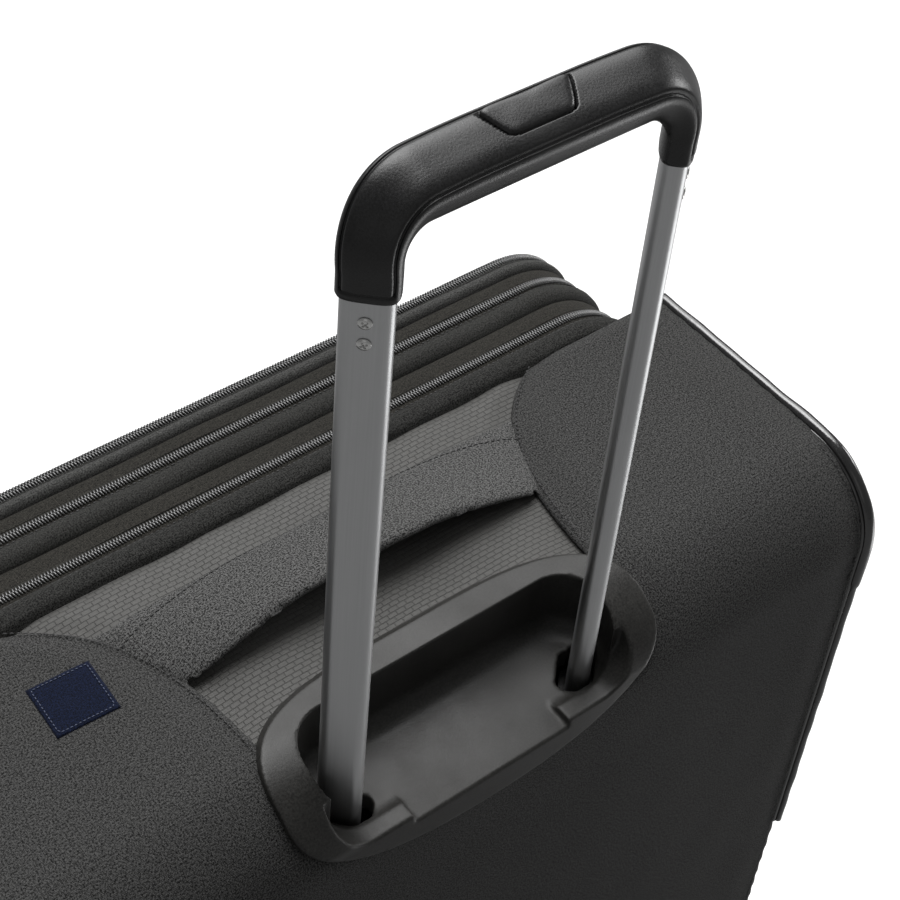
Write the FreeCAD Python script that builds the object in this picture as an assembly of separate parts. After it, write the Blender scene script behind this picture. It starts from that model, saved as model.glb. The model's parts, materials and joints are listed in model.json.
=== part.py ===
import FreeCAD, Part
import math
import os

# Softside upright suitcase, millimetres.
# +Z is up, +Y is the back (trolley side), X runs across the case.
# The origin is on the floor, under the middle of the case.

V = FreeCAD.Vector
X_AXIS = V(1, 0, 0)
Y_AXIS = V(0, 1, 0)
Z_AXIS = V(0, 0, 1)

# ---- driving dimensions: case ----
CASE_TOP = 742.0            # top fabric
CASE_BOTTOM = 66.0          # underside of the fabric tub
CASE_BACK = 140.0           # back fabric
SIDE_INNER = 230.0          # half width inside the side panels
SIDE_OUTER = 234.0          # half width over the side panels
PIPING_OUTER = 240.0        # half width over the piping
HALF_WIDTH = 244.0          # half width over guards and side handle
BACK_OUTER = 145.0          # rearmost plane, bezel and guards
GUARD_TOP = 134.0           # top of the rear corner guards
FRONT_OUTER = -145.0        # front of the lower pocket
TUB_FRONT = -18.5           # where the tub meets the padded gusset strip
TUB_RADIUS = 45.0           # back top and back bottom edges
WALL = 4.0                  # padded fabric wall
GAP = 0.2                   # between fabric rings that part
SEAM = ((147.0, TUB_FRONT), (112.0, 14.0), (90.0, 78.0))    # ripstop panel: half width, depth
LINING_WALL = 1.0
LINING_HOLE = (112.0, 68.0, 640.0)    # half width, front and low edge, round the handle cup
BOARD_HALF = 215.0          # stiffening board inside the back
BOARD_LOW = 122.0
BOARD_HIGH = 670.0
BOARD_FRONT = 132.6
BOARD_BACK = 134.6
PATCH = (126.0, 156.0, 18.0, 46.0)
PATCH_THICK = 0.8
FAR = 300.0                 # past every part, for cutting

# ---- gusset, expansion frame and lid ----
RING_HALF = 232.0
RING_LOW = 68.0
RING_HIGH = 741.0
RING_RADIUS = 50.0
RING_WALL = 2.4
STRIP_FRONT = -39.0         # expansion zip line
FRAME_FRONT = -69.0         # main zip line
LID_FRONT = -87.0           # pocket zip line
POCKET_FACE = -102.0
POCKET_WALL = 2.4
UPPER_SOFTNESS = 9.0        # rounding of each pocket's front edge
LOWER_SOFTNESS = 14.0
LOWER_POCKET = (205.0, 96.0, 470.0, 30.0)    # half width, low, high, corner
GUSSET_BACK = -10.0
GUSSET_FRONT = -77.0
COIL_WIDTH = 6.0
COIL_HEIGHT = 1.6
HINGE_LOW = 100.0           # the left edge has no main zip between these heights
HINGE_HIGH = 709.0

# ---- trolley ----
TUBE_X = 67.5
TUBE_Y = 120.0
TUBE_LONG = 19.0
TUBE_SHORT = 10.0
TUBE_CORNER = 4.2
TUBE_WALL = 1.2
TUBE_TOP = 1012.0           # inside the grip legs
TUBE_BOTTOM = 620.0
GRIP_LOW = 1003.0           # collar edge
BAR_LOW = 1024.0
BAR_HIGH = 1049.0
BAR_FRONT = 104.0
BAR_BACK = 130.0
GRIP_HALF = 78.0
OUTER_LONG = 22.6
OUTER_SHORT = 13.6
OUTER_WALL = 1.4
OUTER_TOP = 684.0
OUTER_BOTTOM = 112.0
BUTTON_TRAVEL = 4.0
BUTTON_HALF = 18.0
BUTTON_FRONT = 107.0
BUTTON_BACK = 122.0
BUSH_HEIGHT = 6.0
LOCK_BLOCK_HEIGHT = 24.0
LOCK_PIN_R = 2.0
LOCK_PIN_TIP = 6.6
LOCK_SLOT_LOW = 300.0
SPLIT_Z = 1032.0            # seam between the grip's two shells
CAVITY_LOW = 1026.0
CAVITY_HIGH = 1046.0
YOKE_LOW = 1030.2
YOKE_HIGH = 1036.2
CAVITY_HALF = 73.0
LEG_WALL = 1.4
LEG_CORNER = 5.6
YOKE_HALF = 69.2
YOKE_BEVEL = 4.5            # clears the grip's rounded corners
YOKE_BACK = 1.6
ROD_R = 1.5
SPRING_X = 30.0
SPRING_R = 3.0
SPRING_BORE_R = 2.2
BUTTON_PROUD = 2.0
SCREW_HEAD_R = 2.6
SCREW_HEAD_HEIGHT = 1.2
SCREW_HEIGHTS = (984.2, 993.5)

# ---- bezel ----
BEZEL_HALF = 100.5          # half width of the oval outline
BEZEL_SPAN = 42.0           # half depth of the outline, across the top back edge
BEZEL_SHIFT = -4.0          # the outline's middle, towards the front
BEZEL_POINTS = 48
BEZEL_SQUARENESS = (3.6, 2.4)    # superellipse powers, front and back halves
BEZEL_PROUD = 4.5
BEZEL_LAP = 5.0             # the flange over the fabric's edge
FLOOR_FRONT = 711.0         # the recess floor slopes down to the back
FLOOR_BACK = 706.0
CUP_BOTTOM = 697.0
CUP_WALL = 4.0
CUP_BACK_WALL = 9.0         # the cup's back half fills the space behind the rim
RECESS_HALF = 80.0
RECESS_FRONT = 93.0
RECESS_BACK = 137.3
RECESS_CORNER = 20.0
RECESS_COVE = 11.0
RIM_Z = 709.5               # back rim of the recess
RIM_HALF = 62.0
RIM_SWEEP = 20.0
NOTCH_HALF = 43.0           # gap in the raised rim
RIM_OUTER = 141.4           # outer face of the raised rim
BAND_LOW = 693.0            # the sloping band below the rim ends here
BAND_FOOT = 144.3
BAND_HIGH = 716.0           # the flange curves inside the band's plane above this
BAND_HALF = 90.0
TUBE_HOLE = (10.8, 6.6, 5.0)
TUBE_HOLE_TOP = 713.0
TUBE_HOLE_REACH = 5.0       # each hole runs on towards the middle

# ---- carry handles ----
TOP_HANDLE_HALF = 104.0
TOP_HANDLE_RISE = 20.0
TOP_HANDLE_FRONT = 8.0
TOP_HANDLE_BACK = 50.0
SIDE_HANDLE_MID = 420.0
SIDE_HANDLE_HALF = 110.0
SIDE_HANDLE_FRONT = 42.0
SIDE_HANDLE_BACK = 78.0
HANDLE_THICK = 5.0

# ---- zip sliders, on the right-hand side wall ----
SLIDER_BASE_X = 233.8
SLIDER_TOP_X = 237.4
BAIL_X = 239.7
BAIL_R = 0.8
PULL_LENGTH = 36.0
SLIDERS = {
    "main_slider_upper": (-66.0, 470.0),
    "main_slider_lower": (-66.0, 420.0),
    "expansion_slider": (-36.0, 250.0),
    "pocket_slider": (-88.0, 600.0),
}

# ---- casters ----
WHEEL_R = 25.0
WHEEL_WIDTH = 11.0
WHEEL_OFFSET = 11.5         # from the fork's middle to a wheel's middle
CASTER_TRAIL = 14.0
FORK_TOP = 57.5
FORK_R = 24.0
FORK_CAP = 6.0
STEM_R = 6.0
PLATE_LOW = 58.0
PLATE_HIGH = 66.0
RUNNING = 0.05
AXLE_R = 3.0
CASTERS = {
    "front_left": (-190.0, -45.0),
    "front_right": (190.0, -45.0),
    "rear_left": (-190.0, 95.0),
    "rear_right": (190.0, 95.0),
}

SHAPES = {}


def keep(name, shape):
    """Store one sub-part after a validity check."""
    if not shape.isValid():
        raise ValueError(name + " is not a valid shape")
    SHAPES[name] = shape


def box(x0, x1, y0, y1, z0, z1):
    return Part.makeBox(x1 - x0, y1 - y0, z1 - z0, V(x0, y0, z0))


def group(shapes):
    return Part.makeCompound(shapes)


def mirrored(shape):
    return shape.mirror(V(0, 0, 0), X_AXIS)


def rounded_rect(half_a, half_b, radius):
    """Closed wire in the XY plane, centred on the origin."""
    a, b, r = half_a, half_b, radius
    k = r * (1 - math.sqrt(0.5))
    corners = [(1, 1), (-1, 1), (-1, -1), (1, -1)]
    edges = []
    for i, (sx, sy) in enumerate(corners):
        along_x = V(sx * (a - r), sy * b, 0)
        along_y = V(sx * a, sy * (b - r), 0)
        mid = V(sx * (a - k), sy * (b - k), 0)
        start, end = (along_y, along_x) if sx == sy else (along_x, along_y)
        edges.append(Part.Arc(start, mid, end).toShape())
        nx, ny = corners[(i + 1) % 4]
        if nx == ny:
            next_start = V(nx * a, ny * (b - r), 0)
        else:
            next_start = V(nx * (a - r), ny * b, 0)
        edges.append(Part.LineSegment(end, next_start).toShape())
    return Part.Wire(edges)


def rounded_bar(half_a, half_b, radius, z0, z1):
    wire = rounded_rect(half_a, half_b, radius)
    wire.translate(V(0, 0, z0))
    return Part.Face(wire).extrude(V(0, 0, z1 - z0))


def rounded_slab(half_x, z0, z1, radius, y0, y1):
    """A slab with rounded corners in the XZ plane, from y0 to y1."""
    half_z = (z1 - z0) / 2
    bar = rounded_bar(half_x, half_z, radius, 0, y1 - y0)
    bar.rotate(V(0, 0, 0), X_AXIS, -90)
    bar.translate(V(0, y0, (z0 + z1) / 2))
    return bar


def ring(inset, wall, y0, y1):
    """A rounded band round the case opening."""
    outer = rounded_slab(RING_HALF - inset, RING_LOW + inset, RING_HIGH - inset,
                         RING_RADIUS - inset, y0, y1)
    deep = inset + wall
    inner = rounded_slab(RING_HALF - deep, RING_LOW + deep, RING_HIGH - deep,
                         RING_RADIUS - deep, y0 - 1, y1 + 1)
    return outer.cut(inner)


def tub_profile(inset, front, x0, x1):
    """The tub's side outline, rounded at the back, extruded along X."""
    low = CASE_BOTTOM + inset
    high = CASE_TOP - inset
    back = CASE_BACK - inset
    r = TUB_RADIUS - inset
    k = r * (1 - math.sqrt(0.5))
    lines = [
        Part.LineSegment(V(x0, front, low), V(x0, back - r, low)),
        Part.Arc(V(x0, back - r, low), V(x0, back - k, low + k), V(x0, back, low + r)),
        Part.LineSegment(V(x0, back, low + r), V(x0, back, high - r)),
        Part.Arc(V(x0, back, high - r), V(x0, back - k, high - k), V(x0, back - r, high)),
        Part.LineSegment(V(x0, back - r, high), V(x0, front, high)),
        Part.LineSegment(V(x0, front, high), V(x0, front, low)),
    ]
    wire = Part.Wire([line.toShape() for line in lines])
    return Part.Face(wire).extrude(V(x1 - x0, 0, 0))


def turned_tube(half_long, half_short, radius, z0, z1, side):
    """A rounded bar standing on one tube axis, broad face outward and back."""
    bar = rounded_bar(half_long, half_short, radius, z0, z1)
    bar.rotate(V(0, 0, 0), Z_AXIS, -45 * side)
    bar.translate(V(side * TUBE_X, TUBE_Y, 0))
    return bar


# ---- case ----
def bezel_plug(inset):
    """Prism of the bezel's oval outline, along the top-back diagonal."""
    points = []
    for i in range(BEZEL_POINTS):
        turn = 2 * math.pi * i / BEZEL_POINTS
        power = BEZEL_SQUARENESS[0] if math.sin(turn) < 0 else BEZEL_SQUARENESS[1]
        reach = (abs(math.cos(turn)) ** power + abs(math.sin(turn)) ** power) ** (-1 / power)
        points.append(V((BEZEL_HALF - inset) * reach * math.cos(turn),
                        (BEZEL_SPAN - inset) * reach * math.sin(turn) + BEZEL_SHIFT, -75))
    outline = Part.BSplineCurve()
    outline.interpolate(Points=points, PeriodicFlag=True)
    prism = Part.Face(Part.Wire(outline.toShape())).extrude(V(0, 0, 150))
    prism.rotate(V(0, 0, 0), X_AXIS, -45)
    prism.translate(V(0, TUBE_Y, CASE_TOP - 20))
    return prism


def above_floor(half_x, y0, y1):
    """Everything over the sloping floor plane between two depths."""
    slope = (FLOOR_BACK - FLOOR_FRONT) / (RECESS_BACK - RECESS_FRONT)
    top = CASE_TOP + 20
    corners = [V(-half_x, y0, FLOOR_FRONT + slope * (y0 - RECESS_FRONT)),
               V(-half_x, y1, FLOOR_FRONT + slope * (y1 - RECESS_FRONT)),
               V(-half_x, y1, top), V(-half_x, y0, top)]
    return Part.Face(Part.makePolygon(corners + corners[:1])).extrude(V(2 * half_x, 0, 0))


def recess_outline(grow, floor):
    """The recess's rounded plan, standing on a level."""
    half_y = (RECESS_BACK - RECESS_FRONT) / 2
    solid = rounded_bar(RECESS_HALF + grow, half_y + grow, RECESS_CORNER + grow,
                        floor, CASE_TOP + 20)
    solid.translate(V(0, (RECESS_BACK + RECESS_FRONT) / 2, 0))
    return solid


def recess_solid():
    """The stowed grip's space, rounded where its walls meet the sloping floor."""
    solid = recess_outline(0.0, FLOOR_BACK - 10).common(above_floor(120.0, 60.0, 170.0))
    floor = min(solid.Faces, key=lambda f: f.CenterOfMass.z)
    return solid.makeFillet(RECESS_COVE, floor.Edges)


def rim_cut():
    """Opens the recess to the back, above a rim that sweeps up at its ends."""
    ends = RIM_HALF + RIM_SWEEP
    k = RIM_SWEEP * math.sqrt(0.5)
    y = RECESS_BACK - 10
    lift = RIM_Z + RIM_SWEEP
    edges = [
        Part.LineSegment(V(-RIM_HALF, y, RIM_Z), V(RIM_HALF, y, RIM_Z)),
        Part.Arc(V(RIM_HALF, y, RIM_Z), V(RIM_HALF + k, y, lift - k), V(ends, y, lift)),
        Part.LineSegment(V(ends, y, lift), V(ends, y, CASE_TOP + 20)),
        Part.LineSegment(V(ends, y, CASE_TOP + 20), V(-ends, y, CASE_TOP + 20)),
        Part.LineSegment(V(-ends, y, CASE_TOP + 20), V(-ends, y, lift)),
        Part.Arc(V(-ends, y, lift), V(-RIM_HALF - k, y, lift - k), V(-RIM_HALF, y, RIM_Z)),
    ]
    wire = Part.Wire([edge.toShape() for edge in edges])
    return Part.Face(wire).extrude(V(0, 40, 0))


def band_cut():
    """Slopes the flange back between its lower edge and the rim."""
    behind = BACK_OUTER + 5
    profile = [(RIM_OUTER, BAND_HIGH), (RIM_OUTER, RIM_Z), (BAND_FOOT, BAND_LOW),
               (behind, BAND_LOW), (behind, BAND_HIGH)]
    corners = [V(-BAND_HALF, y, z) for y, z in profile]
    return Part.Face(Part.makePolygon(corners + corners[:1])).extrude(V(2 * BAND_HALF, 0, 0))


def make_bezel():
    """Moulded cup with a flange that wraps over the top back edge."""
    reach = BEZEL_HALF + 5
    shell = tub_profile(-BEZEL_PROUD, 40.0, -reach, reach)
    inside = tub_profile(0.0, 35.0, -reach - 5, reach + 5)
    flange = shell.cut(inside).common(bezel_plug(0.0))
    back_half = box(-FAR, FAR, TUBE_Y, FAR, CUP_BOTTOM, CASE_TOP).common(bezel_plug(BEZEL_LAP))
    cup = recess_outline(CUP_BACK_WALL, CUP_BOTTOM).common(back_half)
    cup = cup.fuse(recess_outline(CUP_WALL, CUP_BOTTOM)).common(shell)
    fabric = inside.cut(tub_profile(WALL, 30.0, -reach - 9, reach + 9)).cut(bezel_plug(BEZEL_LAP))
    body = flange.fuse(cup.cut(fabric))
    body = body.cut(recess_solid()).cut(rim_cut())
    body = body.cut(above_floor(NOTCH_HALF, RECESS_BACK - RECESS_COVE - 2, 170.0))
    body = body.cut(band_cut())
    for side in (-1, 1):
        hole = turned_tube(*TUBE_HOLE, CUP_BOTTOM - 5, TUBE_HOLE_TOP, side)
        body = body.cut(hole)
        hole.translate(V(-side * TUBE_HOLE_REACH, 0, 0))
        body = body.cut(hole)
    return body.removeSplitter()


def make_tub():
    """Back, top and bottom fabric, side panels, ripstop panel and piping."""
    wrap = tub_profile(0, TUB_FRONT, -SIDE_INNER, SIDE_INNER)
    wrap = wrap.cut(tub_profile(WALL, TUB_FRONT - 5, -SIDE_INNER - 1, SIDE_INNER + 1))
    wrap = wrap.cut(bezel_plug(BEZEL_LAP))
    low = CASE_TOP - 3 * WALL
    seam = [V(x, y, low) for x, y in SEAM] + [V(-x, y, low) for x, y in reversed(SEAM)]
    prism = Part.Face(Part.makePolygon(seam + seam[:1])).extrude(V(0, 0, 8 * WALL))
    keep("fabric_wrap", wrap.cut(prism))
    top = box(-FAR, FAR, -FAR, FAR, CASE_TOP - WALL, CASE_TOP)
    keep("top_ripstop_panel", prism.common(top))
    panel = tub_profile(0, TUB_FRONT, SIDE_INNER, SIDE_OUTER)
    keep("side_panel_right", panel)
    keep("side_panel_left", mirrored(panel))
    piping = tub_profile(-1.5, TUB_FRONT, SIDE_OUTER, PIPING_OUTER)
    piping = piping.cut(tub_profile(4.5, TUB_FRONT - 5, SIDE_OUTER - 1, PIPING_OUTER + 1))
    piping = piping.cut(box(0, FAR, -FAR, FAR, 0, GUARD_TOP))
    keep("edge_piping", group([piping, mirrored(piping)]))


def make_lining():
    front = GUSSET_BACK + 0.5
    lining = tub_profile(WALL, front, -SIDE_INNER, SIDE_INNER)
    half = SIDE_INNER - LINING_WALL
    lining = lining.cut(tub_profile(WALL + LINING_WALL, front - 5, -half, half))
    hole_half, hole_front, hole_low = LINING_HOLE
    lining = lining.cut(box(-hole_half, hole_half, hole_front, FAR, hole_low, CASE_TOP))
    keep("lining", lining)
    keep("back_board", box(-BOARD_HALF, BOARD_HALF, BOARD_FRONT, BOARD_BACK,
                           BOARD_LOW, BOARD_HIGH))


def make_rings():
    """Gusset strip, folded gusset, expansion frame and the three zips."""
    keep("front_gusset_strip", ring(0, RING_WALL, STRIP_FRONT, TUB_FRONT))
    keep("expansion_gusset", ring(RING_WALL + 0.6, 1.4, GUSSET_FRONT, GUSSET_BACK))
    keep("expansion_frame", ring(0, RING_WALL, FRAME_FRONT, STRIP_FRONT - GAP))
    coil = (-COIL_HEIGHT, COIL_HEIGHT)
    keep("expansion_zip", ring(*coil, STRIP_FRONT, STRIP_FRONT + COIL_WIDTH))
    hinge_side = box(-FAR, -SIDE_INNER / 2, -FAR, FAR, HINGE_LOW, HINGE_HIGH)
    main = ring(*coil, FRAME_FRONT, FRAME_FRONT + COIL_WIDTH)
    keep("main_zip", main.cut(hinge_side))
    keep("pocket_zip", ring(*coil, LID_FRONT - 4, LID_FRONT - 4 + COIL_WIDTH))


def soften_front(solid, y, radius):
    """Round every edge that lies on the plane at y."""
    edges = [e for e in solid.Edges if all(abs(v.Y - y) < 0.01 for v in e.Vertexes)]
    return solid.makeFillet(radius, edges)


def make_lid():
    """Lid tray and the two front pockets, each an open-backed shell."""
    back = FRAME_FRONT - GAP
    tray = rounded_slab(RING_HALF, RING_LOW, RING_HIGH, RING_RADIUS, LID_FRONT, back)
    deep = RING_WALL
    hollow = rounded_slab(RING_HALF - deep, RING_LOW + deep, RING_HIGH - deep,
                          RING_RADIUS - deep, LID_FRONT + 3, back + 5)
    keep("lid_shell", tray.cut(hollow))
    upper = (RING_HALF - 2, RING_LOW + 2, RING_HIGH - 2, RING_RADIUS - 2)
    keep("upper_pocket", pocket(upper, POCKET_FACE, LID_FRONT, UPPER_SOFTNESS))
    keep("lower_pocket", pocket(LOWER_POCKET, FRONT_OUTER, POCKET_FACE, LOWER_SOFTNESS))


def pocket(outline, face_y, back_y, softness):
    half, low, high, radius = outline
    outer = soften_front(rounded_slab(half, low, high, radius, face_y, back_y),
                         face_y, softness)
    w = POCKET_WALL
    inner = rounded_slab(half - w, low + w, high - w, radius - w, face_y + w, back_y + 5)
    inner = soften_front(inner, face_y + w, softness - w)
    return outer.cut(inner)


def make_base():
    """Moulded base plate with caster bores, guards and the trolley's foot."""
    rear = box(-243, 243, 40, 144.5, PLATE_LOW, PLATE_HIGH)
    front = box(-224, 224, -84, 41, PLATE_LOW, PLATE_HIGH)
    plate = rear.fuse(front).removeSplitter()
    corners = [e for e in plate.Edges if e.BoundBox.ZLength > 5
               and not 30 < e.BoundBox.YMin < 100]
    plate = plate.makeFillet(10.0, corners)
    for x, y in CASTERS.values():
        plate = plate.cut(Part.makeCylinder(STEM_R + RUNNING, 20, V(x, y, PLATE_LOW - 5)))
    keep("base_plate", plate)
    guard = box(196, HALF_WIDTH, 96, BACK_OUTER, PLATE_HIGH, GUARD_TOP)
    upright = [e for e in guard.Edges if e.BoundBox.ZLength > 10
               and e.BoundBox.XMin > 230 and e.BoundBox.YMin > 120]
    guard = guard.makeFillet(12.0, upright)
    guard = guard.cut(box(190, HALF_WIDTH - 3.4, 90, BACK_OUTER - 3.4, 60, GUARD_TOP - 3))
    guard = guard.cut(box(190, SIDE_OUTER + 0.1, 90, CASE_BACK + 0.1, 60, GUARD_TOP + 5))
    keep("corner_guards", group([guard, mirrored(guard)]))
    foot = box(-92, 92, 94, 104, 72.5, OUTER_BOTTOM)
    foot = foot.fuse(box(-92, 92, 94, 128, OUTER_BOTTOM - 14, OUTER_BOTTOM))
    keep("trolley_foot", foot.removeSplitter())


def make_carry_handles():
    strap = arched_strap(TOP_HANDLE_HALF, TOP_HANDLE_RISE, TOP_HANDLE_BACK - TOP_HANDLE_FRONT)
    strap.translate(V(0, TOP_HANDLE_FRONT, CASE_TOP))
    keep("top_carry_handle", strap)
    side = arched_strap(SIDE_HANDLE_HALF, HALF_WIDTH - SIDE_OUTER,
                        SIDE_HANDLE_BACK - SIDE_HANDLE_FRONT)
    side.rotate(V(0, 0, 0), Y_AXIS, 90)
    side.translate(V(SIDE_OUTER, SIDE_HANDLE_FRONT, SIDE_HANDLE_MID))
    keep("side_carry_handle", side)


def arched_strap(half, rise, width):
    """A strap bowed up from z = 0, along X, with its width along Y."""
    thick = min(HANDLE_THICK, 0.4 * rise)
    wire = Part.Wire([
        Part.Arc(V(-half, 0, 0), V(0, 0, rise), V(half, 0, 0)).toShape(),
        Part.LineSegment(V(half, 0, 0), V(half - 10, 0, 0)).toShape(),
        Part.Arc(V(half - 10, 0, 0), V(0, 0, rise - thick), V(10 - half, 0, 0)).toShape(),
        Part.LineSegment(V(10 - half, 0, 0), V(-half, 0, 0)).toShape(),
    ])
    return Part.Face(wire).extrude(V(0, width, 0))


def make_patch():
    keep("label_patch", box(*PATCH, CASE_TOP, CASE_TOP + PATCH_THICK))


# ---- trolley ----
def outward(side):
    """Unit vector out of a tube's broad face."""
    return V(side * math.sqrt(0.5), math.sqrt(0.5), 0)


def tube_pin(side, r, start, length, z):
    """A cylinder across one tube, measured from the tube's axis outward."""
    direction = outward(side)
    origin = V(side * TUBE_X, TUBE_Y, z) + direction * start
    return Part.makeCylinder(r, length, origin, direction)


def make_channels():
    """Fixed outer tubes and the bushes on top of them."""
    a, b, w = OUTER_LONG / 2, OUTER_SHORT / 2, OUTER_WALL
    block_mid = TUBE_BOTTOM - LOCK_BLOCK_HEIGHT / 2
    outers = []
    bushes = []
    for side in (-1, 1):
        tube = turned_tube(a, b, 6.0, OUTER_BOTTOM, OUTER_TOP, side)
        tube = tube.cut(turned_tube(a - w, b - w, 4.6, OUTER_BOTTOM - 1, OUTER_TOP + 1, side))
        slot = rounded_bar(LOCK_PIN_R + 0.3, 6.0, 1.0, LOCK_SLOT_LOW, block_mid + 4)
        slot.rotate(V(0, 0, 0), Z_AXIS, -45 * side)
        slot.translate(V(side * TUBE_X, TUBE_Y, 0) + outward(side) * (b + 3))
        outers.append(tube.cut(slot))
        bush = turned_tube(a + 1.2, b + 1.2, 6.0, OUTER_TOP, OUTER_TOP + BUSH_HEIGHT, side)
        bushes.append(bush.cut(turned_tube(TUBE_LONG / 2 + 0.1, TUBE_SHORT / 2 + 0.1,
                                           TUBE_CORNER + 0.1, OUTER_TOP - 1, OUTER_TOP + 20,
                                           side)))
    keep("outer_tubes", group(outers))
    keep("guide_bushes", group(bushes))


def make_inner_tubes():
    a, b = TUBE_LONG / 2, TUBE_SHORT / 2
    blocks = []
    screws = []
    for side, name in ((-1, "inner_tube_left"), (1, "inner_tube_right")):
        tube = turned_tube(a, b, TUBE_CORNER, TUBE_BOTTOM, TUBE_TOP, side)
        bore = turned_tube(a - TUBE_WALL, b - TUBE_WALL, TUBE_CORNER - TUBE_WALL,
                           TUBE_BOTTOM - 1, TUBE_TOP + 1, side)
        keep(name, tube.cut(bore))
        low = TUBE_BOTTOM - LOCK_BLOCK_HEIGHT
        block = turned_tube(a + 0.2, b + 0.2, TUBE_CORNER, low, TUBE_BOTTOM, side)
        middle = TUBE_BOTTOM - LOCK_BLOCK_HEIGHT / 2
        blocks.append(block.cut(tube_pin(side, LOCK_PIN_R + RUNNING, -20, 40, middle)))
        for z in SCREW_HEIGHTS:
            head = tube_pin(side, SCREW_HEAD_R, b, SCREW_HEAD_HEIGHT, z)
            rim = [e for e in head.Edges if len(e.Vertexes) == 1]
            rim.sort(key=lambda e: e.CenterOfMass.y)
            screws.append(head.makeFillet(0.7, rim[-1:]))
        pin = tube_pin(side, LOCK_PIN_R, -1.4, LOCK_PIN_TIP + 1.4, middle)
        keep("lock_pin_left" if side < 0 else "lock_pin_right", pin)
    keep("lock_blocks", group(blocks))
    keep("tube_screws", group(screws))


def make_grip():
    """Two moulded shells that close round the tube tops and the button's yoke."""
    bar = box(-GRIP_HALF, GRIP_HALF, BAR_FRONT, BAR_BACK, BAR_LOW, BAR_HIGH)
    bar = bar.makeFillet(6.0, bar.Edges)
    cavity = box(-CAVITY_HALF, CAVITY_HALF, BUTTON_FRONT - 0.6, BAR_BACK - 4, CAVITY_LOW, CAVITY_HIGH)
    whole = bar
    bores = []
    for side in (-1, 1):
        leg = turned_tube(TUBE_LONG / 2 + LEG_WALL, TUBE_SHORT / 2 + LEG_WALL, LEG_CORNER,
                          GRIP_LOW, BAR_LOW + 9, side)
        whole = whole.fuse(leg)
        bores.append(turned_tube(TUBE_LONG / 2, TUBE_SHORT / 2, TUBE_CORNER,
                                 GRIP_LOW - 1, CAVITY_LOW + 1, side))
    whole = whole.cut(cavity)
    for bore in bores:
        whole = whole.cut(bore)
    hole = box(-BUTTON_HALF - 0.3, BUTTON_HALF + 0.3, BUTTON_FRONT - 0.3,
               BUTTON_BACK + 0.3, CAVITY_HIGH - 1, BAR_HIGH + 5)
    whole = whole.cut(hole)
    keep("grip_upper", whole.common(box(-FAR, FAR, 0, FAR, SPLIT_Z, BAR_HIGH + 1)))
    keep("grip_lower", whole.common(box(-FAR, FAR, 0, FAR, GRIP_LOW - 1, SPLIT_Z)))


def make_button():
    top = BAR_HIGH + BUTTON_PROUD
    button = box(-BUTTON_HALF, BUTTON_HALF, BUTTON_FRONT, BUTTON_BACK, YOKE_HIGH, top)
    rim = [e for e in button.Edges if e.BoundBox.ZMin > top - 0.1]
    keep("push_button", button.makeFillet(1.6, rim))
    middle = (BUTTON_FRONT + BUTTON_BACK) / 2
    yoke = box(-YOKE_HALF, YOKE_HALF, middle - 3, TUBE_Y + YOKE_BACK, YOKE_LOW, YOKE_HIGH)
    ends = [e for e in yoke.Edges if e.BoundBox.ZMin > YOKE_HIGH - 0.1
            and abs(e.CenterOfMass.x) > YOKE_HALF - 0.1]
    yoke = yoke.makeChamfer(YOKE_BEVEL, ends)
    for side in (-1, 1):
        rod_low = TUBE_BOTTOM + 6
        rod = Part.makeCylinder(ROD_R, YOKE_LOW - rod_low + 1, V(side * TUBE_X, TUBE_Y, rod_low))
        yoke = yoke.fuse(rod)
    keep("push_rods", yoke.removeSplitter())
    springs = []
    for side in (-1, 1):
        at = V(side * SPRING_X, middle, CAVITY_LOW)
        height = YOKE_LOW - CAVITY_LOW
        spring = Part.makeCylinder(SPRING_R, height, at)
        springs.append(spring.cut(Part.makeCylinder(SPRING_BORE_R, height, at)))
    keep("button_springs", group(springs))


# ---- casters ----
def make_caster(name, x, y):
    """Twin-wheel swivel caster, trailing towards the back at rest."""
    axle_y = y + CASTER_TRAIL
    cap = Part.makeCylinder(FORK_R, FORK_CAP, V(x, y, FORK_TOP - FORK_CAP))
    cap = cap.fuse(Part.makeCylinder(STEM_R, 7.0, V(x, y, FORK_TOP)))
    web = box(x - 5, x + 5, y - 16, axle_y + 8, WHEEL_R, FORK_TOP - 2)
    web = web.fuse(Part.makeCylinder(8.0, 10.0, V(x - 5, axle_y, WHEEL_R), X_AXIS))
    fork = cap.fuse(web).removeSplitter()
    fork = fork.cut(Part.makeCylinder(AXLE_R, 60, V(x - 30, axle_y, WHEEL_R), X_AXIS))
    keep("caster_fork_" + name, fork)
    reach = WHEEL_OFFSET + WHEEL_WIDTH / 2
    keep("caster_axle_" + name,
         Part.makeCylinder(AXLE_R, 2 * reach, V(x - reach, axle_y, WHEEL_R), X_AXIS))
    wheels = []
    for side in (-1, 1):
        start = x + side * WHEEL_OFFSET - WHEEL_WIDTH / 2
        wheel = Part.makeCylinder(WHEEL_R, WHEEL_WIDTH, V(start, axle_y, WHEEL_R), X_AXIS)
        wheel = wheel.makeFillet(2.0, [e for e in wheel.Edges if len(e.Vertexes) == 1])
        wheels.append(wheel.cut(Part.makeCylinder(AXLE_R + RUNNING, 60,
                                                  V(x - 30, axle_y, WHEEL_R), X_AXIS)))
    keep("caster_wheels_" + name, group(wheels))


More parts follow.
